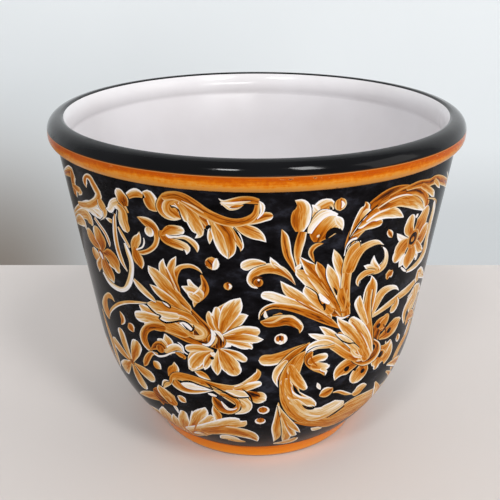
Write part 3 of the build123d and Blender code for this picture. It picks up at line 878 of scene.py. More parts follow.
stroke([(-19.9, 125.2, 3.8), (-22.8, 131.4, 4.7), (-25.7, 137.8, 5.1), (-27.9, 143, 4.3),
        (-29.2, 145.7, 2.9), (-30, 148.2, 0)], "ggo", "wpc", edge=0.25)
stroke([(-19.8, 121.1, 3.4), (-23, 125.3, 3.6), (-26.1, 130, 3.3), (-28.7, 133.4, 2.4),
        (-30.6, 135.8, 0)], "goo", "wow", edge=0.2)
form([(-21.3, 128, 0.3), (-23.4, 133.8, 0.7), (-25, 139.1, 0.4),
        (-26.6, 143, 0.2)], "ggg", "ooo", outlined=0, grain=0.05, edge=0)
form([(-22.4, 135.6, 0.3), (-23.5, 142.4, 0.6),
        (-24.4, 148.5, 0.3)], "ddd", "ggg", outlined=0, grain=0.05, edge=0)
form([(-18, 118.3, 0.3), (-20.8, 124.8, 0.7), (-22.7, 130.8, 0.7),
        (-24.6, 134.6, 0.3)], "ooo", "ccc", outlined=0, grain=0.05, edge=0)
form([(-16.7, 115.3, 1.2), (-18.9, 119, 2.7), (-22.4, 119.7, 4.1), (-26.3, 120.3, 5.4),
        (-29.7, 121.4, 4.4), (-32.6, 121.8, 0.6)], "oog", "pco", outlined=0.3, grain=0.18)
stroke([(-19.1, 116.5, 1), (-21.5, 117.3, 2.3), (-24.5, 116.1, 3), (-27, 115.2, 2.8),
        (-28.9, 113.7, 0.9)], "ooc", "www", outlined=0)
stroke([(-23.1, 118.3, 2.1), (-26.5, 117.4, 2.4), (-29.3, 117.3, 1.5)], "cpc", "wcc", outlined=0)
form([(-20.5, 115.8, 0.9), (-17.6, 113.9, 2.1), (-15.3, 111.2, 2.5), (-15, 107.8, 1.7),
        (-16.9, 105.7, 1.7), (-19.4, 106.6, 1.1),
        (-21.3, 109.3, 0.3)], "opo", "ocp", outlined=0, edge=0)
form([(-22.5, 111.6, 0.7), (-20.4, 108.3, 1.1),
        (-18, 105.7, 0.6)], "ccc", "ooo", outlined=0, edge=0)
form([(-22.3, 113.7, 0.3), (-20.8, 113.4, 2), (-19.3, 111.7, 2.2),
        (-18.5, 109.6, 0.5)], "www", "www", outlined=0.3, edge=0)
form([(-29.2, 127, 0.2), (-27.5, 126.9, 0.5), (-25.7, 126.2, 0.6), (-24.6, 124.4, 0.5),
        (-24.8, 122.7, 0.4), (-25.9, 123.4, 0.3),
        (-27.2, 125.6, 0.3)], "kkk", "kkk", outlined=0, edge=0)
form([(-27, 125.9, 0.2), (-25.8, 124.7, 0.7),
        (-24.9, 123.5, 0.2)], "www", "www", outlined=0, edge=0)
form([(-33, 122, 0.3), (-31.9, 118.8, 0.6), (-30.1, 116.3, 0.5), (-28.3, 115.8, 0.6),
        (-29.1, 113.5, 0.6), (-27.2, 111.8, 0.7), (-24.7, 113.2, 0.6), (-21.6, 115.6, 0.6),
        (-19.5, 114.7, 0.6), (-18.2, 111.6, 0.5)], "kkk", "kkk", outlined=0, edge=0)
form([(-21.4, 113.7, 0.2), (-20.1, 110.9, 0.6), (-18.8, 109.5, 0.5), (-17.9, 112.5, 0.5),
        (-18, 114.3, 0.2)], "kkk", "kkk", outlined=0, edge=0)
form([(-14.4, 148.1, 0.6), (-13.7, 143, 1.8), (-13.8, 138.5, 2.5), (-15.2, 134.1, 2.4),
        (-16.8, 130.2, 1.6), (-17.3, 125.9, 0)], "ddo", "dow")
rounded([(-15.5, 136, 3), (-17.2, 139.8, 2.3), (-17.9, 143.1, 1.3)], "ooc", "www")
stroke([(-16.1, 135.2, 4), (-18.1, 137.2, 3.3), (-20.3, 138.9, 0.4)], "ooc", "wwc", edge=0.2)
stroke([(-16.5, 132.4, 2.9), (-17.9, 134.6, 2.3), (-18.8, 135.6, 0.7)], "ooo", "www")
form([(-17.3, 134.8, 0.3), (-15.7, 137.9, 0.6),
        (-14.4, 142.2, 0.3)], "www", "ccc", outlined=0, edge=0)
form([(-36.3, 135.7, 1.2), (-34.6, 132.3, 2.5), (-32.3, 128.8, 2.4), (-30.2, 126, 1.6),
        (-29.3, 124.5, 0.4)], "ocw", "ocw")

# %% Stems, hook and berries below the left acanthus
motif = "stems, hook and berries below the left acanthus"
form([(-55.1, 95, 0.4), (-52.4, 102.2, 1), (-46.8, 111.1, 1.2), (-41.4, 116.8, 1.1),
        (-36.6, 120, 0.9), (-32.8, 122.1, 0.3)], "gow", "gow")
form([(-55.4, 93.5, 0.9), (-56.6, 98.6, 5.7), (-55.7, 105.3, 3.5), (-53.3, 111.8, 1.6),
        (-50.1, 114.5, 2.1), (-48, 111.5, 0)], "cog", "cod")
form([(-46.4, 107.1, 0), (-45.6, 104.1, 2.4), (-45.6, 100.5, 2), (-47.5, 96, 0)], "wod", "wdd")
form([(-42.9, 101, 0.5), (-42.3, 99.8, 3.5), (-41.6, 97.8, 3.5),
        (-40.9, 96.1, 0.2)], "wdo", "wdw")
form([(-31.8, 86.7, 0.6), (-34.5, 85.2, 1.6), (-36.6, 80.5, 2.2), (-38.1, 75.6, 2),
        (-39, 72.4, 0.3)], "ogc", "ogo")
form([(-34.2, 79.8, 0.4), (-33.5, 78.6, 2.9), (-32.4, 76.9, 3),
        (-31.5, 75.5, 0.2)], "wod", "wpd")
form([(-32.9, 61.2, 0), (-30.6, 66.1, 2), (-28.3, 66.8, 0.9)], "wco", "woo")

# %% Flower at the lower left
motif = "flower at the lower left"
rounded([(-47.2, 71, 1.6), (-51, 73.5, 3.8), (-54.5, 76, 4.6)], "goc", "wcp", edge=0.25)
rounded([(-46.8, 68.5, 1.6), (-50, 63.5, 4), (-53, 58, 4.8)], "goc", "wcw", edge=0.25)
rounded([(-46, 72.5, 1.6), (-47.6, 81, 3.6), (-48.4, 89, 4)], "goc", "wcw", edge=0.25)
rounded([(-44.6, 72.5, 1.6), (-42.6, 80, 4), (-41, 86, 4.6)], "ogo", "wcw", edge=0.25)
rounded([(-43.6, 69.5, 1.6), (-40.6, 67.5, 4), (-37.6, 65.8, 4.8)], "goo", "wcw", edge=0.25)
rounded([(-45.2, 67.5, 1.6), (-44.4, 60.5, 4), (-43.4, 54, 4.8)], "goo", "wcw", edge=0.25)
berry(-45.4, 70.2, 1.8, "ddg")
form([(-61, 96, 0.8), (-60, 84, 2.6), (-58, 72, 3.4), (-58, 60, 3),
        (-60, 50, 0)], "ooc", "wcw")
form([(-66, 70, 2.4), (-64, 58, 4), (-66, 46, 4), (-70, 36, 2)], "goo", "wcw")

# %% Bud in the hollow of the left acanthus
motif = "bud in the hollow of the left acanthus"
form([(-27.1, 89, 0.7), (-26.9, 94.3, 3.1), (-27.2, 99.2, 3.5),
        (-27.9, 103.5, 0.5)], "ooc", "wcw")
stroke([(-28.3, 92.8, 2.7), (-29.5, 96.3, 3.4), (-31, 97.9, 0.8)], "ooo", "www", edge=0.2)
stroke([(-28.4, 91.2, 1.9), (-25.2, 95.6, 2.4), (-23.2, 95.5, 2.2),
        (-22.2, 92.2, 0)], "wcg", "wco", merge=0.1)
form([(-34, 86.9, 0.3), (-32, 85.1, 0.7), (-29.2, 86.9, 0.6), (-26.3, 90.8, 0.5),
        (-23.5, 92.7, 0.6), (-22.6, 92.3, 0.2)], "www", "www", outlined=0.2, edge=0)
stroke([(-33.7, 89.4, 1), (-32.2, 91.8, 2.3), (-30.1, 93.5, 3.7),
        (-29.2, 91.5, 2.8)], "dgd", "gdd", outlined=0.3)
berry(-30.5, 91.3, 2.9, "ggd", "ddd", outlined=0.1)
form([(-25.1, 91.6, 0.3), (-23.4, 90.8, 1.7), (-21.9, 89.5, 1.1),
        (-22.5, 88.2, 0.1)], "gdo", "gdo")
form([(-23.7, 99.8, 0.3), (-22.3, 97.8, 0.5), (-22, 93.9, 0.5),
        (-20.6, 92.2, 0.3)], "www", "ppp", outlined=0.2)

# %% Big flower on the left
motif = "big flower on the left"
form([(-19.2, 80.8, 0.3), (-17.7, 79.9, 2.3), (-15.9, 78.3, 2.1),
        (-14, 75.8, 0)], "gow", "dow")
form([(-10.9, 109.2, 1.1), (-10.2, 113.9, 5.1), (-8.9, 118.6, 8.4), (-7.8, 123.6, 7.8),
        (-6.6, 128.5, 5), (-5.3, 132.7, 2.5)], "ogo", "ccc", grain=0.22)
stroke([(-10.6, 110, 1.3), (-12, 116.6, 3.3), (-12.9, 121.5, 2.4),
        (-13.1, 125, 0.5)], "goc", "opw", edge=0.25)
rounded([(-10.3, 110.7, 1.4), (-10.9, 118.2, 3), (-10.9, 124.1, 2.5),
        (-10.8, 126.5, 1.9)], "ogo", "wcw", edge=0.25)
stroke([(-9.4, 111.6, 1.8), (-6.9, 117.2, 3.6), (-4.9, 121.3, 3.7), (-3.2, 123.3, 1.9),
        (-2.2, 123.9, 0)], "wgo", "wpw", edge=0.3)
stroke([(-10, 110.8, 1.7), (-8.6, 119.4, 3.9), (-6.8, 126.8, 5.2), (-5.3, 131.7, 3.7),
        (-4.3, 135.1, 0.3)], "ogo", "wpw", edge=0.3)
form([(-9.8, 110.8, 0.3), (-8.5, 120.1, 0.5), (-6.8, 127.8, 0.4),
        (-5.9, 131.9, 0.2)], "ggg", "ooo", outlined=0, grain=0.05, edge=0)
form([(-10, 110.8, 0.3), (-7.2, 118.2, 0.5),
        (-5.2, 124, 0.2)], "ooo", "ccc", outlined=0, grain=0.05, edge=0)
form([(-10.3, 110.7, 0.3), (-11.5, 118.1, 0.5),
        (-12.3, 122, 0.3)], "ggg", "ooo", outlined=0, grain=0.05, edge=0)
form([(-9.5, 107.7, 2.1), (-6.5, 108.9, 5.2), (-3.6, 109.3, 7.6), (-1.3, 109.4, 6),
        (0.1, 108.7, 2.8)], "ogo", "cpc")
rounded([(-9.1, 108.9, 1.6), (-5.6, 111.5, 3.4), (-2.7, 113.3, 3.5),
        (-0.7, 113.1, 3.3)], "wgo", "wpo", edge=0.25)
stroke([(-9.2, 106.4, 1.9), (-6.3, 105.4, 2.9), (-3.7, 103.6, 3.1), (-1.8, 102.3, 1.8),
        (-1.4, 100.6, 0.1)], "ogw", "wpw", edge=0.25)
stroke([(-9.2, 107.8, 1.7), (-5.4, 108.6, 2.8), (-2.2, 108.1, 3.1), (0.4, 107.5, 2.1),
        (2, 107.6, 0)], "ogo", "wpw", edge=0.25)
form([(-9, 108.3, 0.3), (-5.6, 110.7, 0.6),
        (-2.4, 113, 0.3)], "ggg", "ooo", outlined=0, grain=0.05, edge=0)
form([(-9.2, 107.4, 0.6), (-5.4, 107.5, 0.6),
        (-1.9, 107.6, 0.3)], "ddd", "ooo", outlined=0, grain=0.05, edge=0)
stroke([(-10.2, 101.9, 1.1), (-8.8, 103.2, 2.1), (-7.3, 102.4, 0.6)], "www", "www", outlined=0, edge=0)
form([(-10.8, 98.5, 1.1), (-11.6, 91.7, 2.9), (-12, 86.5, 3.2), (-11.9, 82.7, 1.8),
        (-11.9, 80.2, 0)], "goc", "wcw", edge=0.2)
rounded([(-10.3, 99, 1.5), (-7.9, 98, 2.2), (-5.5, 96, 2.9),
        (-4, 93.8, 2.5)], "wgo", "wcw", merge=0, edge=0.2)
rounded([(-10.6, 98.6, 1.6), (-9.2, 93.8, 4.4), (-7.8, 88.3, 5.8),
        (-7.1, 86, 5.1)], "ogo", "wcw", edge=0.3)
form([(-10.3, 97.9, 0.3), (-8.6, 92.4, 0.6),
        (-6.9, 85.3, 0.4)], "ggg", "ddd", outlined=0, grain=0.05, edge=0)
form([(-10.7, 97.8, 0.3), (-9.9, 90.7, 0.5),
        (-9.4, 84.1, 0.2)], "ooo", "ooo", outlined=0, grain=0.05, edge=0)
form([(-13.1, 97.2, 1.3), (-15.4, 94.3, 4.9), (-17.6, 89.8, 6.4), (-19.4, 84.6, 3.9),
        (-20.5, 81.1, 1.2)], "ogo", "cpc", grain=0.2)
rounded([(-12.9, 98, 0.7), (-15.8, 98.5, 2.4), (-18.7, 97.9, 2.6),
        (-20.1, 97, 2.7)], "goo", "pcw", edge=0.2)
rounded([(-13.2, 97.1, 1), (-16.7, 92.4, 3.7), (-19.1, 86.6, 3.9),
        (-19.4, 85.2, 3.1)], "ooo", "wcw", edge=0.3)
stroke([(-13, 96.5, 1.2), (-14.4, 90.9, 2.6), (-15.3, 86.2, 2), (-15.8, 83, 0)], "ogo", "www", edge=0.25)
form([(-13.4, 97.1, 0.3), (-15.5, 93.5, 0.6),
        (-17.9, 87.5, 0.4)], "ggg", "ooo", outlined=0, grain=0.05, edge=0)
form([(-13.5, 94.2, 0.2), (-14.9, 89.3, 0.5),
        (-16, 85.2, 0.2)], "ddd", "ooo", outlined=0, grain=0.05, edge=0)
form([(-13.5, 96.6, 0.3), (-12.9, 95.4, 1.5),
        (-12.2, 96.6, 0.6)], "www", "www", outlined=0, edge=0)
berry(-13.2, 92.6, 1.1, "kkk", "kkk", outlined=0.1, edge=0)
berry(-11.5, 105.2, 5.4, "ddd", "gdd", outlined=0.35)
form([(-12.9, 112.9, 0.3), (-12.2, 109.6, 1.4), (-12.7, 105.2, 1), (-14.1, 101.6, 1),
        (-15.9, 101.8, 0.3)], "www", "www", outlined=0.2, edge=0)
form([(-12.1, 112.1, 0.3), (-10.8, 111, 1.1), (-9.9, 108.4, 0.9),
        (-9.6, 105.2, 0.2)], "www", "wcc", outlined=0, edge=0)
form([(-11.9, 108.9, 0.2), (-11.4, 107, 0.6), (-11.9, 103.6, 0.7),
        (-13.3, 100.4, 0.2)], "ccc", "ooo", outlined=0, edge=0)

# %% Ribbon leaf with two loops
motif = "ribbon leaf with two loops"
form([(-28.1, 67.6, 0.9), (-30.3, 64.5, 1.5), (-32.1, 60.4, 0.4)], "cog", "cog")
form([(-28.3, 71.5, 1.5), (-27.1, 76.1, 3.6), (-25.9, 80.3, 2.8),
        (-26, 84.6, 0)], "dgp", "ocw")
form([(-14.3, 70.6, 1.3), (-11.1, 68.4, 3), (-7.9, 65, 4.2), (-5.1, 61.9, 5), (-3.2, 57.9, 3.5),
        (-4.1, 52.8, 2.3), (-7.2, 49.6, 0.4)], "opo", "wpo", grain=0.2)
form([(-11.5, 66.6, 1.2), (-8.6, 64.9, 1.5), (-6.4, 61.5, 1.6), (-5.9, 57.5, 1.4),
        (-7.1, 53.4, 2), (-9.4, 51.8, 3), (-11.7, 54.2, 3.8), (-13.1, 59.2, 2.8),
        (-13.9, 63.2, 0.7)], "ogd", "cdd", grain=0.12)
form([(-11.4, 60.3, 0.3), (-10.4, 56.5, 1), (-9.3, 53.8, 1.2), (-7.2, 54.2, 0.5),
        (-6.4, 55.8, 0.2)], "www", "www", outlined=0, edge=0)
form([(-8, 63.3, 0.4), (-5.4, 60.3, 0.6),
        (-4.5, 55.9, 0.3)], "ggg", "ooo", outlined=0, grain=0.05, edge=0)
form([(-15.5, 65.4, 0.3), (-14.2, 64.8, 1.2), (-12.7, 64.1, 0.4)], "www", "www", edge=0)
form([(-14.3, 55.9, 0.1), (-14, 50.4, 2.2), (-13.5, 46, 3), (-13.7, 39.8, 1.6),
        (-14.6, 35.2, 0)], "gow", "gow")
form([(-16, 44.6, 0.4), (-15, 41.7, 1.2), (-15, 36.8, 0.4)], "www", "ppp", outlined=0.2)
rounded([(-2.9, 70.2, 0.7), (-1.1, 66.6, 3.7), (0.5, 65, 4.9)], "gdd", "www", merge=0)
form([(-2.6, 69.6, 0.4), (-1.1, 67.3, 2.8), (0.1, 66.5, 2.5),
        (1, 65.6, 0.6)], "ddd", "ddo", outlined=0, edge=0)
form([(-13.7, 68.8, 0.6), (-17.2, 66.6, 1.6), (-20.8, 64.9, 2.3), (-24.1, 64.8, 3),
        (-26.5, 67.4, 3.4), (-27.7, 71.1, 2.5)], "wog", "cod")
form([(-28.5, 67, 0.9), (-27.6, 71.8, 1.7), (-25.3, 74.1, 2.9), (-21.6, 74.3, 3.3),
        (-17.5, 73.5, 2.9), (-13.6, 72.5, 2.3), (-10.3, 71.6, 2.6), (-7.1, 71, 3.1),
        (-4.3, 73.4, 2.7), (-2, 77.4, 2.5), (-0.2, 81.2, 2.3), (0.5, 84.4, 1.5),
        (-0.1, 87.1, 0)], "dgo", "wog", grain=0.2)
rounded([(-5.9, 71, 2.8), (-3.3, 73, 2.9), (-0.8, 74.9, 2.5), (0.4, 75.7, 2.2)], "wog", "wpw", edge=0.25)
stroke([(-9.1, 69.3, 1), (-5.9, 68, 2.5), (-3.7, 67.3, 2.3), (-2.4, 65.9, 0.3)], "ocw", "wpw", outlined=0)
form([(-11, 72, 0.4), (-7.1, 72, 0.6), (-3.6, 75.5, 0.4),
        (-1.1, 79.9, 0.3)], "ooo", "ccc", outlined=0, grain=0.05, edge=0)
form([(-27.1, 69.9, 0.3), (-25, 72.3, 0.7), (-21, 72.9, 0.7),
        (-17.6, 72.3, 0.3)], "ooo", "ccc", outlined=0, grain=0.05, edge=0)
form([(-24.6, 69.3, 0.4), (-23.1, 68.6, 2.1), (-20.6, 68.7, 2.7), (-17.8, 68.8, 1.8),
        (-14.3, 68.4, 0.3)], "www", "www", outlined=0.3, edge=0)
form([(-24.8, 69.2, 0.3), (-23.2, 71.4, 0.6), (-21, 72.3, 0.6), (-18.7, 71.2, 0.6),
        (-15.7, 70.1, 0.5), (-13.6, 68.7, 0.3)], "kkk", "kkk", outlined=0, edge=0)
form([(-16, 73.6, 0.2), (-12.3, 70.6, 0.5), (-9.2, 67.1, 0.7), (-6.6, 64.4, 0.7),
        (-2.4, 65.1, 0.5)], "kkk", "kkk", outlined=0, edge=0)
form([(-15.7, 73.4, 0.2), (-14.5, 71.3, 0.5),
        (-13.6, 68.7, 0.3)], "kkk", "kkk", outlined=0, edge=0)
form([(-4.5, 71.7, 0.2), (-3, 69, 0.6), (-1.9, 65.4, 0.6),
        (-1.3, 60.5, 0.4)], "kkk", "kkk", outlined=0, edge=0)
berry(2.2, 53.9, 3.6, "www", "www", edge=0)
berry(2, 54.2, 2.7, "dgd", "ddd", outlined=0, edge=0)
berry(1.2, 42.9, 3.3, "www", "www", edge=0)
berry(1.3, 43.8, 2.5, "gog", "dgd", outlined=0, edge=0)

# %% Bud and berry at the lower left
motif = "bud and berry at the lower left"
form([(-27, 57, 0.5), (-26.1, 56.1, 2.8), (-25, 54.1, 3), (-24.1, 53, 0.2)], "wow", "pow")
form([(-30.5, 47.1, 0.5), (-29.6, 43.5, 1.4), (-29.5, 37.9, 0.3)], "ppp", "www", outlined=0.2)
form([(-34.6, 48.4, 3), (-38, 47.5, 4), (-45, 42, 3), (-52, 35, 0)], "goo", "pcw")
rounded([(-31.6, 46, 2.8), (-32.6, 49.2, 10.1), (-33.4, 50, 8.9)], "ddo", "gdg", merge=0)
stroke([(-30.6, 49.8, 4.7), (-32.5, 54.9, 5.2), (-33.7, 58.5, 3.7),
        (-34.3, 61.2, 0.2)], "gog", "wow", edge=0.2)
form([(-33.1, 51.7, 0.7), (-31.4, 52.1, 1.4),
        (-30.7, 48.8, 0.5)], "ooo", "ccc", outlined=0, edge=0)

# %% Serrated leaf at the bottom left
motif = "serrated leaf at the bottom left"
form([(-60, 13, 0), (-53, 14, 6), (-45, 16, 11), (-36.4, 15, 15), (-27, 20.5, 11), (-19.4, 27.4, 7.5),
        (-13.1, 32.6, 4.8)], "wgo", "ogo", grain=0.22)
stroke([(-39.4, 9.5, 9.1), (-38, 24.7, 8), (-37, 37.8, 0.8)], "goo", "wpw", edge=0.25)
stroke([(-36.8, 9.8, 3.9), (-33.9, 24.7, 3.5), (-32.8, 33.8, 0.6)], "goo", "wpw", edge=0.25)
rounded([(-31.9, 11.1, 3), (-29.2, 27.1, 4.3), (-27.5, 37, 3.3),
        (-27, 40.3, 2.7)], "goo", "wcw", edge=0.25)
stroke([(-25.7, 21.8, 3), (-23.8, 34.6, 2.5), (-22.8, 45.6, 0.3)], "ooc", "wpw", edge=0.25)
stroke([(-28.1, 15.9, 3.3), (-23.5, 31, 3.9), (-20.3, 41.9, 5), (-18.1, 48.5, 3.1),
        (-17.3, 52.5, 0.2)], "ogo", "wpw", edge=0.3)
stroke([(-24.3, 21.6, 2.9), (-18.3, 36.1, 3.5), (-15.6, 43.4, 2.5),
        (-14.7, 41.4, 0.4)], "oco", "wpc", edge=0.2)
stroke([(-27.3, 15.1, 6.2), (-18.9, 27.7, 5.4), (-12.8, 36, 5.5), (-8.1, 40.1, 6), (-5.2, 40.2, 4),
        (-3.5, 43.1, 0.2)], "wog", "wpo", merge=0.1, edge=0.25, grain=0.2)
stroke([(-20, 23.1, 4.8), (-13.5, 28.3, 5.7), (-7.9, 28.5, 6.3), (-3.8, 25.4, 6), (-1.1, 20.2, 3.5),
        (0.4, 13.4, 0)], "ogo", "wow", merge=0.1, edge=0.25)
form([(-23, 21.3, 0.5), (-15.7, 30.6, 1),
        (-9.8, 36.6, 0.5)], "ggg", "ggg", outlined=0, grain=0.05, edge=0)
form([(-27.3, 15.1, 0.3), (-22.3, 33.3, 0.6),
        (-19.3, 44.7, 0.3)], "ggg", "ooo", outlined=0, grain=0.05, edge=0)
form([(-13.7, 26.7, 0.8), (-8.4, 27.6, 1.4),
        (-3.4, 24.2, 0.8)], "ggg", "ddd", outlined=0, grain=0.05, edge=0)
form([(-15.2, 14.4, 0.4), (-13, 17.1, 4.4), (-10.4, 16.7, 4.8), (-8, 13.8, 3.3),
        (-4.8, 12.3, 0.9)], "wpo", "oog")
form([(-28.4, 10.9, 0.5), (-24.4, 14.7, 2.4), (-21.6, 12.9, 0.8)], "ppp", "ooo")

# %% Top acanthus at the right
motif = "top acanthus at the right"
form([(22.9, 157.6, 0.6), (24, 165.2, 2.8), (25.7, 172, 4.6), (28, 177.7, 6.2), (31, 182.5, 7.1),
        (34.6, 186.3, 6.8), (38.8, 187.3, 5.5), (43, 185.8, 3.9),
        (48.1, 180.6, 2.8)], "dgo", "ddg", grain=0.2)
rounded([(24.8, 171.1, 2.4), (27.4, 173.7, 3.2), (30.5, 173.6, 2.9),
        (32.3, 173.4, 2.4)], "gdo", "wgw", edge=0.2)
stroke([(26.6, 175.2, 2.9), (30.1, 178.7, 4.3), (34, 178.8, 3.8), (37.9, 176.3, 2.9),
        (40.6, 173.1, 0.9), (41.3, 172, 0)], "dow", "wcw", edge=0.2)
stroke([(32.9, 182.8, 3.5), (37.7, 184.3, 4), (42, 181.5, 3.7), (46.5, 177.2, 3.3),
        (49.9, 172.7, 1.5), (51.2, 170, 0)], "dgo", "oww", edge=0.2, grain=0.2)
stroke([(35.3, 186.6, 2.8), (39.9, 188, 3.3), (45.3, 185.9, 2.8), (49.9, 179.6, 2.8),
        (51.9, 174, 3.2), (51.4, 169.8, 0)], "gdg", "ogw", edge=0.15, grain=0.2)
stroke([(40.8, 189.9, 1.6), (45.1, 189.9, 2.2), (50.4, 188, 2.5), (56.5, 186.4, 2.9),
        (75.1, 172.2, 2.1), (63.2, 188, 0)], "gdo", "wow", edge=0.2)
stroke([(47.3, 187.8, 1.7), (51.4, 183.1, 2), (55, 178.4, 1.9), (56.4, 174.7, 0)], "dgo", "www", edge=0.2)
stroke([(54.2, 187.1, 1.6), (57.6, 182.6, 1.6), (60, 178.8, 0)], "goo", "www")
form([(52, 177.7, 0.3), (57, 174, 0.7), (59.2, 169.3, 1.9), (57.9, 168.3, 0)], "ooo", "goo")
stroke([(31, 182.5, 0.4), (35.4, 186, 0.6), (39.7, 186.3, 0.5),
        (43.2, 184.5, 0.2)], "ppp", "www", outlined=0, grain=0.05, edge=0)
stroke([(28.1, 175.9, 0.5), (31.3, 179.4, 0.7),
        (35.2, 180.6, 0.5)], "www", "ppp", outlined=0, grain=0.05, edge=0)
stroke([(27.5, 172.5, 0.4), (29.8, 174.6, 0.6),
        (31.8, 174.3, 0.3)], "ddd", "ddd", outlined=0, grain=0.05, edge=0)
form([(23.5, 166.8, 0), (24.6, 173, 1.7), (25.9, 179.1, 2.7), (27, 182.9, 3.2), (27.5, 185.6, 2),
        (26.8, 188.1, 0)], "wdw", "wdw")
stroke([(26.7, 178.8, 1.8), (27.9, 181.9, 2), (29.3, 181.9, 0)], "dow", "www", outlined=0)
form([(23.5, 167.3, 0.3), (24.8, 172.3, 0.4), (26.5, 177.1, 0.5), (28.6, 181.1, 0.5),
        (30.9, 184.3, 0.3)], "kkk", "kkk", outlined=0, edge=0)

# %% Scroll with three leaves at the right
motif = "scroll with three leaves at the right"
form([(22.9, 157.2, 0.4), (23.4, 162.4, 1), (24.3, 165.8, 1), (26, 166.9, 0.6)], "wpo", "wpo")
form([(24.4, 146.1, 3.4), (24.6, 152.5, 3.7), (25.4, 158.5, 4.2), (26.1, 161.3, 3.5),
        (27, 163.7, 1.5)], "ooc", "ccc")
stroke([(25.2, 148.4, 3.4), (26.3, 155, 3.4), (28.1, 159.5, 2.8), (30.6, 161.6, 2),
        (33, 161.3, 1.2), (35.3, 158.5, 0)], "goo", "wpg", merge=0.1)
form([(34.8, 157.8, 0), (36.4, 154.4, 0.9), (37.3, 149.4, 1.6), (36.8, 144.5, 2.5),
        (35, 142.8, 2.5), (32.6, 143.2, 2.1)], "owo", "ogd")
stroke([(35, 143.2, 1.5), (33.3, 147.4, 1.7), (32.5, 150.7, 1.2), (32.5, 153.5, 0)], "gow", "www")
stroke([(34.2, 143.3, 1.3), (31.4, 146.1, 1.6), (29.6, 148.1, 0.3)], "goo", "www")
form([(33.7, 142.6, 1), (30.8, 143.1, 2.1), (29, 141.4, 2.2), (28.2, 138.4, 1.3),
        (28.8, 134.8, 0)], "goo", "wow")
form([(36.2, 167.6, 0), (36.4, 165.9, 1.6), (37.5, 163.4, 1.8),
        (38.1, 161.3, 0)], "wdw", "wdw")
form([(39.5, 133.4, 0), (39.6, 136.1, 2.9), (40.7, 137.4, 3.1),
        (41.2, 138.7, 0)], "cdw", "cdw")
form([(23.2, 158.1, 0.3), (23.4, 162.4, 0.4), (24.9, 165.5, 0.4), (26.8, 164.8, 0.3),
        (27.6, 160.7, 0.2)], "kkk", "kkk", outlined=0, edge=0)

# %% Flower at the right
motif = "flower at the right"
form([(48.8, 132.3, 0.8), (52.6, 132.2, 2), (56.6, 133.5, 3), (59.7, 137.3, 4.6),
        (59.2, 146, 3.3), (58.8, 155.8, 3.7), (58.9, 165, 3.1),
        (57.6, 172.3, 1.1)], "ocw", "owp")
stroke([(46, 155.2, 1), (42.8, 157.5, 2.1), (41.1, 160.2, 1.6), (39.7, 163.2, 0)], "www", "www", edge=0)
form([(47.2, 168.6, 0.7), (47.8, 169.5, 1.4), (48.4, 170.1, 0)], "www", "www", edge=0)
stroke([(45.4, 143.7, 2.6), (44.6, 140.9, 3.1), (43.8, 138.7, 0)], "www", "www", edge=0)
form([(45.1, 137.8, 0.4), (47, 134.8, 0.8), (49, 132, 0)], "www", "www", edge=0)
stroke([(50.1, 144.5, 1.2), (53.1, 140.2, 2), (53.2, 137.1, 1)], "wcw", "www")
rounded([(47.1, 157.8, 2.3), (45, 163.6, 4.8), (45, 167.4, 4.4)], "ogo", "wcw", edge=0.3)
rounded([(48.8, 158.6, 3.2), (51, 161.8, 7.7), (52.3, 166.7, 6.1)], "ggo", "wcp", edge=0.3)
rounded([(50.2, 152.4, 2), (53.5, 151.4, 5.7), (54.7, 154.6, 5.8)], "ggo", "wcw", edge=0.3)
rounded([(50.6, 150.9, 1.7), (53.8, 144.5, 2.8), (56.5, 141.2, 1.5)], "ggo", "wcw", edge=0.3)
rounded([(46, 153.9, 3.3), (43.5, 151.6, 6.9), (42.4, 148, 5.2)], "ogo", "wcw", edge=0.3)
stroke([(48.4, 149, 3.7), (48.7, 142.8, 7.2), (48.4, 138.2, 5.3),
        (48.2, 134.4, 0)], "ogo", "wcw", edge=0.3)
berry(48.5, 154.4, 6.1, "goo", "goo", outlined=0.12)
berry(48.3, 154.7, 4, "kkk", "kkk", outlined=0.1, edge=0)
berry(48.2, 154.3, 1.7, "ooo", "ddd", outlined=0, edge=0)

# %% Leaf on the long stem at the right
motif = "leaf on the long stem at the right"
form([(35.8, 110.8, 1.3), (41.6, 113.9, 2.4), (47.3, 116.4, 2.8), (53.2, 117.4, 3.3),
        (57.7, 119.1, 2.4), (63.3, 118.7, 1.5)], "pco", "pco")
form([(46.5, 115.9, 1.1), (46.9, 111.3, 3.2), (45.4, 108.9, 3.5),
        (44.4, 107.6, 1)], "woo", "wcc")
stroke([(33.8, 107.1, 2.9), (35.9, 117.8, 3.9), (38.4, 125.2, 3.8), (41.8, 126.3, 2.1),
        (44.6, 124.7, 1.1), (47, 120.7, 0)], "ooc", "wwc", merge=0.1)
stroke([(33.1, 109.6, 1.6), (31, 118.7, 2.9), (29.4, 124.4, 2.4),
        (29.8, 128.4, 1)], "ooc", "wcp", edge=0.2)
stroke([(33.7, 107.9, 3), (33.6, 119.2, 4.4), (33.5, 128.3, 5), (33.5, 134, 4), (33.3, 137.8, 1.4),
        (32.7, 140.5, 0)], "ogo", "wow", edge=0.35)
stroke([(34.8, 109.3, 0.7), (34.2, 121, 0.8),
        (33.4, 131, 0.5)], "ggg", "ooo", outlined=0, grain=0.05, edge=0)
form([(75.7, 105.2, 0), (59.6, 123.3, 4), (59.5, 117.6, 2.6)], "wcw", "wcp")
form([(74.9, 97.3, 0), (60.8, 110.7, 4), (56.8, 109, 4), (54.7, 107.8, 3.4)], "pcp", "wwp")
form([(72.9, 101.7, 0), (69.7, 100, 0), (71.7, 87.8, 0)], "ccc", "pcc")
form([(57, 64, 0), (61, 76, 2.6), (65, 88, 3.6), (69, 98, 2.4), (71, 104, 0)], "wco", "wpc")

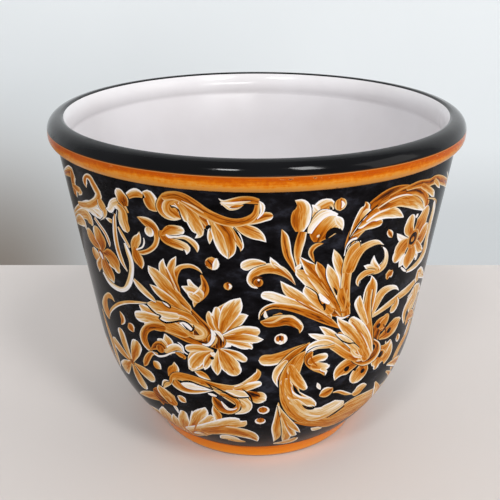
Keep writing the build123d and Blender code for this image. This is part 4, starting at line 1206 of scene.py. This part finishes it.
# %% Fan leaf in front of the pierced flower
motif = "fan leaf in front of the pierced flower"
form([(58.4, 111, 6.2), (60, 104.5, 12.3), (57.2, 103.2, 5.7)], "pcp", "wcp")
form([(56.2, 89.9, 0.9), (54.5, 98.1, 2.9), (55.6, 103.1, 4.5),
        (58.7, 107.1, 3.8)], "wco", "wcc")
form([(59.4, 86.1, 2.4), (60.6, 91.9, 4), (74.5, 77.9, 0)], "ooc", "coc")
form([(58.6, 50.8, 1.9), (56.2, 61.4, 4), (57.7, 69.7, 4), (65, 77, 3.2), (72, 84.8, 0)], "oco", "oco")
form([(53.1, 85, 0), (53.3, 82.6, 2.1), (54.2, 79.4, 2.5), (53.4, 78.5, 0)], "wdw", "www")
form([(52, 56, 0.7), (60, 45, 2), (67, 33, 1.5), (71, 24, 0)], "coo", "coc")
form([(50.3, 63.3, 0.7), (57, 59, 3.4), (64, 52, 4), (71, 43, 0)], "cow", "cow")
rounded([(39.6, 91.8, 2.7), (39.1, 97.7, 5), (40.7, 101.7, 6.1),
        (42.5, 104.3, 3.7)], "gdd", "oog", edge=0.2)
stroke([(41.7, 101.3, 3.8), (43, 103.9, 3.1), (43.6, 107.4, 0)], "ogo", "ogo", edge=0.2)
stroke([(42.5, 91.8, 2.6), (45.7, 92.9, 5.5), (49.1, 94.9, 6.3), (51.2, 96.5, 2.8),
        (52.5, 96.7, 0)], "ggo", "pcp", edge=0.2)
berry(39.7, 101.6, 1.7, "kkk", "kkk", outlined=0, edge=0)
berry(46, 93.4, 2, "kkk", "kkk", outlined=0, edge=0)
form([(41.9, 101.1, 0.3), (43.5, 96.9, 0.6),
        (44.4, 92.5, 0.4)], "rrr", "rrr", outlined=0, edge=0)
stroke([(41, 84.7, 1.5), (44.7, 80.1, 3.7), (47.4, 80.9, 6.1), (48.2, 84.8, 0.6)], "ggo", "wcp", edge=0.2)
rounded([(40.9, 81.8, 1.9), (43.8, 75.5, 5.5), (43.2, 72.1, 7.4),
        (43, 69.6, 3.1)], "ggo", "wcw", edge=0.2)
form([(46.3, 70.2, 4.9), (48.7, 73.6, 5.2), (49.2, 79.3, 2.4),
        (48.8, 83.5, 0)], "ooc", "wpp", outlined=0.1)
berry(44, 77.2, 2.4, "kkk", "kkk", outlined=0, edge=0)
rounded([(35.4, 76.7, 2.3), (35.5, 72, 6.5), (34.7, 69.5, 7)], "ggo", "wcw", edge=0.25)
berry(36.3, 70.8, 1.8, "kkk", "kkk", outlined=0, edge=0)
stroke([(33, 80, 3.1), (29.4, 79.3, 6.1), (26.9, 77, 5.3), (25.7, 73.9, 2.6),
        (25.2, 70.7, 0)], "ggo", "wow", edge=0.25)
berry(29.2, 77.3, 1.9, "kkk", "kkk", outlined=0, edge=0)
berry(32.8, 74.4, 1.1, "kkk", "kkk", outlined=0, edge=0)
form([(37.8, 93.1, 1), (41.1, 86.9, 1.9), (41.2, 81.1, 4.3), (39.2, 77.9, 3.8), (35.8, 77.6, 2.3),
        (32, 81.4, 1.3), (29, 86.7, 0.2)], "wdd", "ddd")
form([(37.4, 87.5, 3.2), (35.8, 98.2, 3.7), (34.3, 108.6, 3.3), (33.2, 119.9, 2.8),
        (33.1, 130.2, 2.4)], "oog", "ooc")
stroke([(34.2, 107.3, 1.3), (31.6, 116.3, 2.4), (29.8, 124.3, 2.5),
        (29.8, 128.5, 0.6)], "ooc", "wcp", edge=0.2)
rounded([(24.7, 104.1, 2.3), (28.5, 95.5, 4.4), (32.2, 88, 5.5),
        (34.1, 85.2, 5.4)], "goc", "coc", grain=0.2)
stroke([(28.3, 93.4, 2.4), (23.8, 101.7, 2.9), (21.2, 107.2, 2.6), (19.1, 111.2, 1.4),
        (17.7, 113.4, 0)], "ooc", "wpw", edge=0.2, grain=0.18)
stroke([(30.3, 87.8, 2.4), (25.2, 96.6, 3), (21.5, 102.1, 2.9), (17.7, 106.1, 2),
        (15.9, 107.8, 1.3), (14.6, 109.4, 0)], "ggo", "www", edge=0.2, grain=0.18)
stroke([(32.3, 82.7, 2.1), (28, 88.5, 2.4), (23.9, 95.8, 2.4), (20.5, 101, 2.2), (17.3, 101.6, 2),
        (15.2, 99.4, 1.4), (14.3, 95.9, 0)], "ggo", "www", merge=0.1, grain=0.16)
rounded([(37.7, 84.2, 3.2), (34.9, 95.9, 3.9), (31.1, 107, 3.6),
        (28.4, 112.8, 2.5)], "ooc", "wcw", edge=0.25, grain=0.22)
stroke([(36.6, 81.9, 3.9), (32.4, 95.4, 4), (27.7, 106.1, 3.7), (24.7, 112.7, 2.3),
        (23, 117.6, 0)], "ooc", "wcp", edge=0.25, grain=0.22)
form([(32.2, 88.8, 2), (28.2, 97.5, 2.1), (25.1, 103.2, 1.5),
        (23.2, 105.7, 0)], "cco", "wpw", outlined=0.3)
form([(23.1, 105.6, 0.2), (25.7, 100, 0.4), (28.5, 96.3, 0.5), (30.4, 95.5, 0.4),
        (32.7, 91.3, 0.2)], "kkk", "kkk", outlined=0, edge=0)
stroke([(23.7, 114.5, 0.3), (28.1, 105.2, 0.6),
        (32.9, 93.5, 0.5)], "ggg", "ggg", outlined=0, grain=0.05, edge=0)
stroke([(28.4, 111.4, 0.4), (32.8, 99.5, 0.6),
        (36.4, 88.2, 0.4)], "ggg", "ggg", outlined=0, grain=0.05, edge=0)
form([(34.8, 82.5, 0.5), (32.1, 85.1, 1.2), (30.2, 89.4, 0.9),
        (29.5, 92.7, 0.4)], "wcw", "ccc", outlined=0, edge=0)

# %% Small leaf in the hollow of the scroll
motif = "small leaf in the hollow of the scroll"
form([(23.5, 97.8, 1.5), (21.2, 97.7, 1), (17.9, 98.3, 0.9), (15.7, 96.5, 0.9),
        (14.3, 93.5, 0.3)], "goc", "www", outlined=0.3)
form([(16.5, 96.2, 0.6), (15.6, 93.5, 2.4), (15.8, 89, 2.7), (17.9, 84.5, 2.8), (20.1, 80.5, 1.6),
        (21.4, 76.3, 0)], "odd", "ogo", grain=0.2)
rounded([(16.7, 89.4, 2.9), (18.6, 90.8, 2.9), (20.2, 90.8, 2.9)], "ogo", "www")
stroke([(17.8, 85.3, 2.9), (20.2, 83.9, 2.6), (22, 83.3, 1.9), (22.6, 84, 0.3)], "ogo", "www")
stroke([(20.3, 81.9, 1.5), (21.7, 79.4, 0.9), (21.4, 76.3, 0)], "oow", "www")
form([(16.2, 93.3, 0.2), (16.7, 89.4, 0.6),
        (18.5, 85, 0.3)], "ddd", "ddd", outlined=0, grain=0.05, edge=0)
form([(19.1, 72.3, 0.1), (19.5, 70, 1.2), (20.1, 67.8, 1),
        (20.6, 66, 0)], "www", "www", edge=0)
form([(20.5, 61.1, 0.6), (21.6, 61.9, 3.4), (22.9, 62.9, 4.4), (24.3, 64.2, 3),
        (25, 65.3, 0.2)], "wgo", "wgo")
form([(25.4, 61, 0.4), (27.8, 60.3, 1.2), (31.3, 55.9, 1.3), (34.3, 52.9, 0.3)], "wog", "wog")
form([(34.1, 53.4, 0.5), (36.1, 53.7, 4.7), (38.2, 55.3, 4.5),
        (40.6, 55.7, 0.5)], "wcg", "pcg")
form([(72, 9, 0), (64, 19, 3), (56, 31, 4), (50, 43, 3), (46, 53, 0.6)], "wco", "pcg")
print("strokes so far:", len(strokes))

# %% [markdown]
# From strokes to one sheet of paint
#
# Strokes lie over each other, as paint does, but the finished wall is one surface. A Delaunay
# triangulation cuts all the triangles of all the strokes against each other. For each little
# face that this gives, `top_triangle` looks up which stroke was painted last over its middle,
# and the face takes its paint from that one. So every edge is sharp at any size, and no layer
# floats above another.

# %% Triangles of one stroke
PAPER_X = 2.0  # a degree counts as about 2 mm on the paper
POINTED = 0.02


def strip(s, turn=0.0, mirror=1.0):
    """Corners (x, y and eight numbers of paint) and triangles of a stroke."""
    rows, along, scale = s["rows"], s["along"], s["scale"]
    length = along[-1]
    corners, triangles = [], []
    last = len(rows) - 1

    def add(a, up, across, half_width, tone, line, s_mm):
        corners.append((PAPER_X * (turn + mirror * a), up, across, s_mm, half_width, tone, line,
                        s["edge"], s["grain"], s["seed"]))
        return len(corners) - 1

    before = None
    for i, (a, up, w) in enumerate(rows):
        t = along[i] / length
        late = t ** 1.8
        tones = s["base"] * (1 - late) + s["tip"] * late
        line = s["outlined"] * (1.0 if s["merge"] == 0 else min(1.0, t / s["merge"]))
        nx, ny = -s["tangent"][i][1], s["tangent"][i][0]
        pointed = w < POINTED and i in (0, last)
        if pointed:
            sign = -1 if i == 0 else 1
            reach = max(0.05, s["outlined"])
            tx, ty = s["tangent"][i] * sign * reach
            here = [add(a + tx / scale[i], up + ty, 0, -reach, tones[1], line,
                        along[i] + sign * reach)]
        else:
            here = []
            for side, tone in ((1, tones[0]), (0, tones[1]), (-1, tones[2])):
                out = side * (w + line)
                here.append(add(a + nx * out / scale[i], up + ny * out, out, w, tone, line,
                                along[i]))
        if before is not None:
            if len(before) == 1 and len(here) == 3:
                triangles += [(before[0], here[0], here[1]), (before[0], here[1], here[2])]
            elif len(before) == 3 and len(here) == 1:
                triangles += [(before[0], before[1], here[0]), (before[1], before[2], here[0])]
            elif len(before) == 3:
                for k in (0, 1):
                    triangles += [(before[k], before[k + 1], here[k]),
                                  (before[k + 1], here[k + 1], here[k])]
        before = here
    return corners, triangles


# %% Which stroke lies on top
def top_triangle(middle, corners, triangles):
    """For each little face the number of the last triangle over its middle, or -1 for none."""
    order = np.argsort(middle[:, 0])
    sorted_x = middle[order, 0]
    owner = np.full(len(middle), -1)
    for number, triangle in enumerate(triangles):
        p = corners[list(triangle), :2]
        low, high = np.searchsorted(sorted_x, (p[:, 0].min(), p[:, 0].max()))
        near = order[low:high]
        near = near[(middle[near, 1] >= p[:, 1].min()) & (middle[near, 1] <= p[:, 1].max())]
        e1, e2, d = p[1] - p[0], p[2] - p[0], middle[near] - p[0]
        area = e1[0] * e2[1] - e1[1] * e2[0]
        b1 = (d[:, 0] * e2[1] - d[:, 1] * e2[0]) / area
        b2 = (e1[0] * d[:, 1] - e1[1] * d[:, 0]) / area
        owner[near[(b1 >= 0) & (b2 >= 0) & (b1 + b2 <= 1)]] = number
    return owner


# %% One quarter of the wall
GRID = 3.6
SMALLEST = 1e-4
WELD = 1e-5
UNPAINTED = -5.0
UV_MARGIN = 0.01


def quarter(name, start, end, layers):
    """A mesh of the wall from start to end degrees, with all the strokes that reach it."""
    corners, triangles = [], []
    for s, turn, mirror in layers:
        centre = turn + mirror * (s["rows"][:, 0].min() + s["rows"][:, 0].max()) / 2
        shift = 360 * round(((start + end) / 2 - centre) / 360)
        got, tris = strip(s, turn + shift, mirror)
        xs = [c[0] / PAPER_X for c in got]
        if max(xs) < start or min(xs) > end:
            continue
        for tri in tris:
            (x0, y0), (x1, y1), (x2, y2) = (got[k][:2] for k in tri)
            area = (x1 - x0) * (y2 - y0) - (y1 - y0) * (x2 - x0)
            if abs(area) > SMALLEST:
                order = tri if area > 0 else tri[::-1]
                triangles.append(tuple(k + len(corners) for k in order))
        corners += got
    corners = np.array(corners).reshape(-1, 10)
    columns = math.ceil((end - start) * PAPER_X / GRID)
    lines = math.ceil(wall_length / GRID)
    grid = [((start + (end - start) * i / columns) * PAPER_X, wall_length * j / lines)
            for j in range(lines + 1) for i in range(columns + 1)]
    first = len(corners)
    rim = ([first + i for i in range(columns + 1)]
           + [first + (columns + 1) * j + columns for j in range(1, lines + 1)]
           + [first + (columns + 1) * lines + i for i in range(columns - 1, -1, -1)]
           + [first + (columns + 1) * j for j in range(lines - 1, 0, -1)])
    edges = list(zip(rim, rim[1:] + rim[:1]))
    flat = [Vector((c[0], c[1])) for c in corners] + [Vector(g) for g in grid]
    # The last value asks for the sources of each face. They are not used, but without them the
    # call did not return on this drawing.
    verts, _, faces, _, _, _ = delaunay_2d_cdt(flat, edges, triangles, 0, WELD, True)
    xy = np.array([tuple(v) for v in verts])
    faces = np.array(faces)
    middle = xy[faces].mean(1)
    keep = ((middle[:, 0] > start * PAPER_X) & (middle[:, 0] < end * PAPER_X)
            & (middle[:, 1] > 0) & (middle[:, 1] < wall_length))
    faces = faces[keep]
    owner = top_triangle(middle[keep], corners, triangles)

    paint = np.zeros((len(faces), 3, 8))
    paint[:, :, 2] = UNPAINTED
    mine = owner >= 0
    if mine.any():
        tri = np.array(triangles)[owner[mine]]
        p = corners[tri][:, :, :2]
        values = corners[tri][:, :, 2:]
        q = xy[faces[mine]]
        base, e1, e2 = p[:, 0], p[:, 1] - p[:, 0], p[:, 2] - p[:, 0]
        area = e1[:, 0] * e2[:, 1] - e1[:, 1] * e2[:, 0]
        area = np.where(np.abs(area) < 1e-12, 1e-12, area)
        d = q - base[:, None]
        b1 = (d[:, :, 0] * e2[:, None, 1] - d[:, :, 1] * e2[:, None, 0]) / area[:, None]
        b2 = (e1[:, None, 0] * d[:, :, 1] - e1[:, None, 1] * d[:, :, 0]) / area[:, None]
        weight = np.clip(np.stack([1 - b1 - b2, b1, b2], 2), -0.05, 1.05)
        paint[mine] = np.einsum("fqc,fcv->fqv", weight, values)

    points, facing = on_wall(xy[:, 0] / PAPER_X, np.clip(xy[:, 1], 0, wall_length))
    used, faces = np.unique(faces, return_inverse=True)
    faces = faces.reshape(-1, 3)
    mesh = bpy.data.meshes.new(name)
    mesh.from_pydata(points[used].tolist(), [], faces.tolist())
    mesh.polygons.foreach_set("use_smooth", [True] * len(faces))
    mesh.normals_split_custom_set_from_vertices(facing[used].tolist())
    for title, columns_of in (("stroke_place", (0, 1, 7)),
                              ("stroke_paint", (2, 3, 4)),
                              ("stroke_edge", (5, 6, 4))):
        layer = mesh.attributes.new(title, "FLOAT_VECTOR", "CORNER")
        layer.data.foreach_set("vector", paint[:, :, columns_of].astype(np.float32).ravel())
    sheet_uv = mesh.uv_layers.new(name="OFBake")
    flat_uv = np.stack([(xy[used][:, 0] / PAPER_X - start) / (end - start),
                        xy[used][:, 1] / wall_length], 1)
    flat_uv = UV_MARGIN + (1 - 2 * UV_MARGIN) * flat_uv
    sheet_uv.data.foreach_set("uv", flat_uv[faces].astype(np.float32).ravel())
    obj = bpy.data.objects.new(name, mesh)
    bpy.context.scene.collection.objects.link(obj)
    print(name, "has", len(faces), "faces,", int(mine.sum()), "of them under a stroke")
    return obj


# %% [markdown]
# The sides and the back
#
# Only the front can be seen in the photo. The back is a guess: the front's strokes once more,
# turned by half a turn. Between the two, each side gets eight single motifs of the front, each
# turned by so many degrees, and mirrored on the left side. They are painted first, so that
# they run on under the front and the back.

# %% Four quarters
side_motifs = [("top acanthus", 102), ("big flower on the left", 97),
               ("small fan and crumbs at the bottom", 70),
               ("scroll with three leaves at the right", 48),
               ("tendril with three leaves at the left", 136),
               ("ribbon leaf with two loops", 117), ("bud in the hollow of the left acanthus", 134),
               ("small leaf under the top acanthus", 118)]
sides = []
for title, turn in side_motifs:
    for s in strokes:
        if s["motif"] == title:
            sides += [(s, turn, 1.0), (s, -turn, -1.0)]
layers = sides + [(s, 180.0, 1.0) for s in strokes] + [(s, 0.0, 1.0) for s in strokes]
print("strokes on the whole wall:", len(layers))
quarters = [quarter("painted_wall_front", -45, 45, layers),
            quarter("painted_wall_right", 45, 135, layers),
            quarter("painted_wall_back", 135, 225, layers),
            quarter("painted_wall_left", 225, 315, layers)]

# %% Paint of the wall
wall_paint = Glaze("painted_wall", IOR=1.5, Specular_IOR_Level=0.03)
where = wall_paint.place()


def read(name):
    return wall_paint.node("ShaderNodeAttribute", {"attribute_name": name}, {}, "Vector")


place, body, border = read("stroke_place"), read("stroke_paint"), read("stroke_edge")
across, along, seed = place.part("X"), place.part("Y"), place.part("Z")
half_width, tone = body.part("X"), body.part("Y")
edge_gain, grain = border.part("X"), border.part("Y")
inside = half_width - abs(across)
painted = inside.step(-0.08, 0.12)


def hair(across_scale, along_scale, detail):
    """Noise that is drawn out along the stroke, like the marks of a brush's hairs."""
    stretched = wall_paint.node(
        "ShaderNodeCombineXYZ", {},
        {"X": across * across_scale, "Y": along * along_scale, "Z": seed}, "Vector")
    return wall_paint.noise(stretched, 1.0, detail, 0.6)


streak = hair(0.9, 0.09, 3)
fine = hair(2.6, 0.16, 2)
hairs = streak.step(0.4, 0.6, -0.8, 0.6) + (fine - 0.5) * 2
flank = inside.step(2.6, 0.4)
light = tone + hairs * grain * 0.75 * inside.step(0.1, 1.0) + flank * 0.08 - 0.1
light = light + edge_gain * (inside.step(1.0, 0.3) * 0.85 + flank * 0.2)
leaf = wall_paint.ramp(light, [
    (0.0, shade(16, 13, 13)), (0.1, shade(100, 48, 10)), (0.2, shade(152, 74, 8)),
    (0.36, shade(182, 108, 26)), (0.55, shade(198, 148, 78)), (0.72, shade(212, 186, 144)),
    (0.86, shade(224, 210, 192)), (1.0, shade(229, 225, 226))])
brushed = wall_paint.noise(wall_paint.stretch(where, 1, 1, 1.8), 75, 5, 0.65)
ground = wall_paint.ramp(brushed, [
    (0.36, shade(5, 4, 5)), (0.52, shade(17, 16, 19)), (0.7, shade(40, 41, 49))])
wall_paint.coat(Base_Color=wall_paint.blend(painted, ground, leaf),
                Roughness=wall_paint.noise(where, 30, 3).step(0.3, 0.7, 0.12, 0.2))
wall_paint.relief(wall_paint.noise(where, 60, 2), 0.00005)

for piece in quarters:
    piece.data.materials.append(wall_paint.material)
    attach(piece, "root")
    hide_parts("wall_glaze")
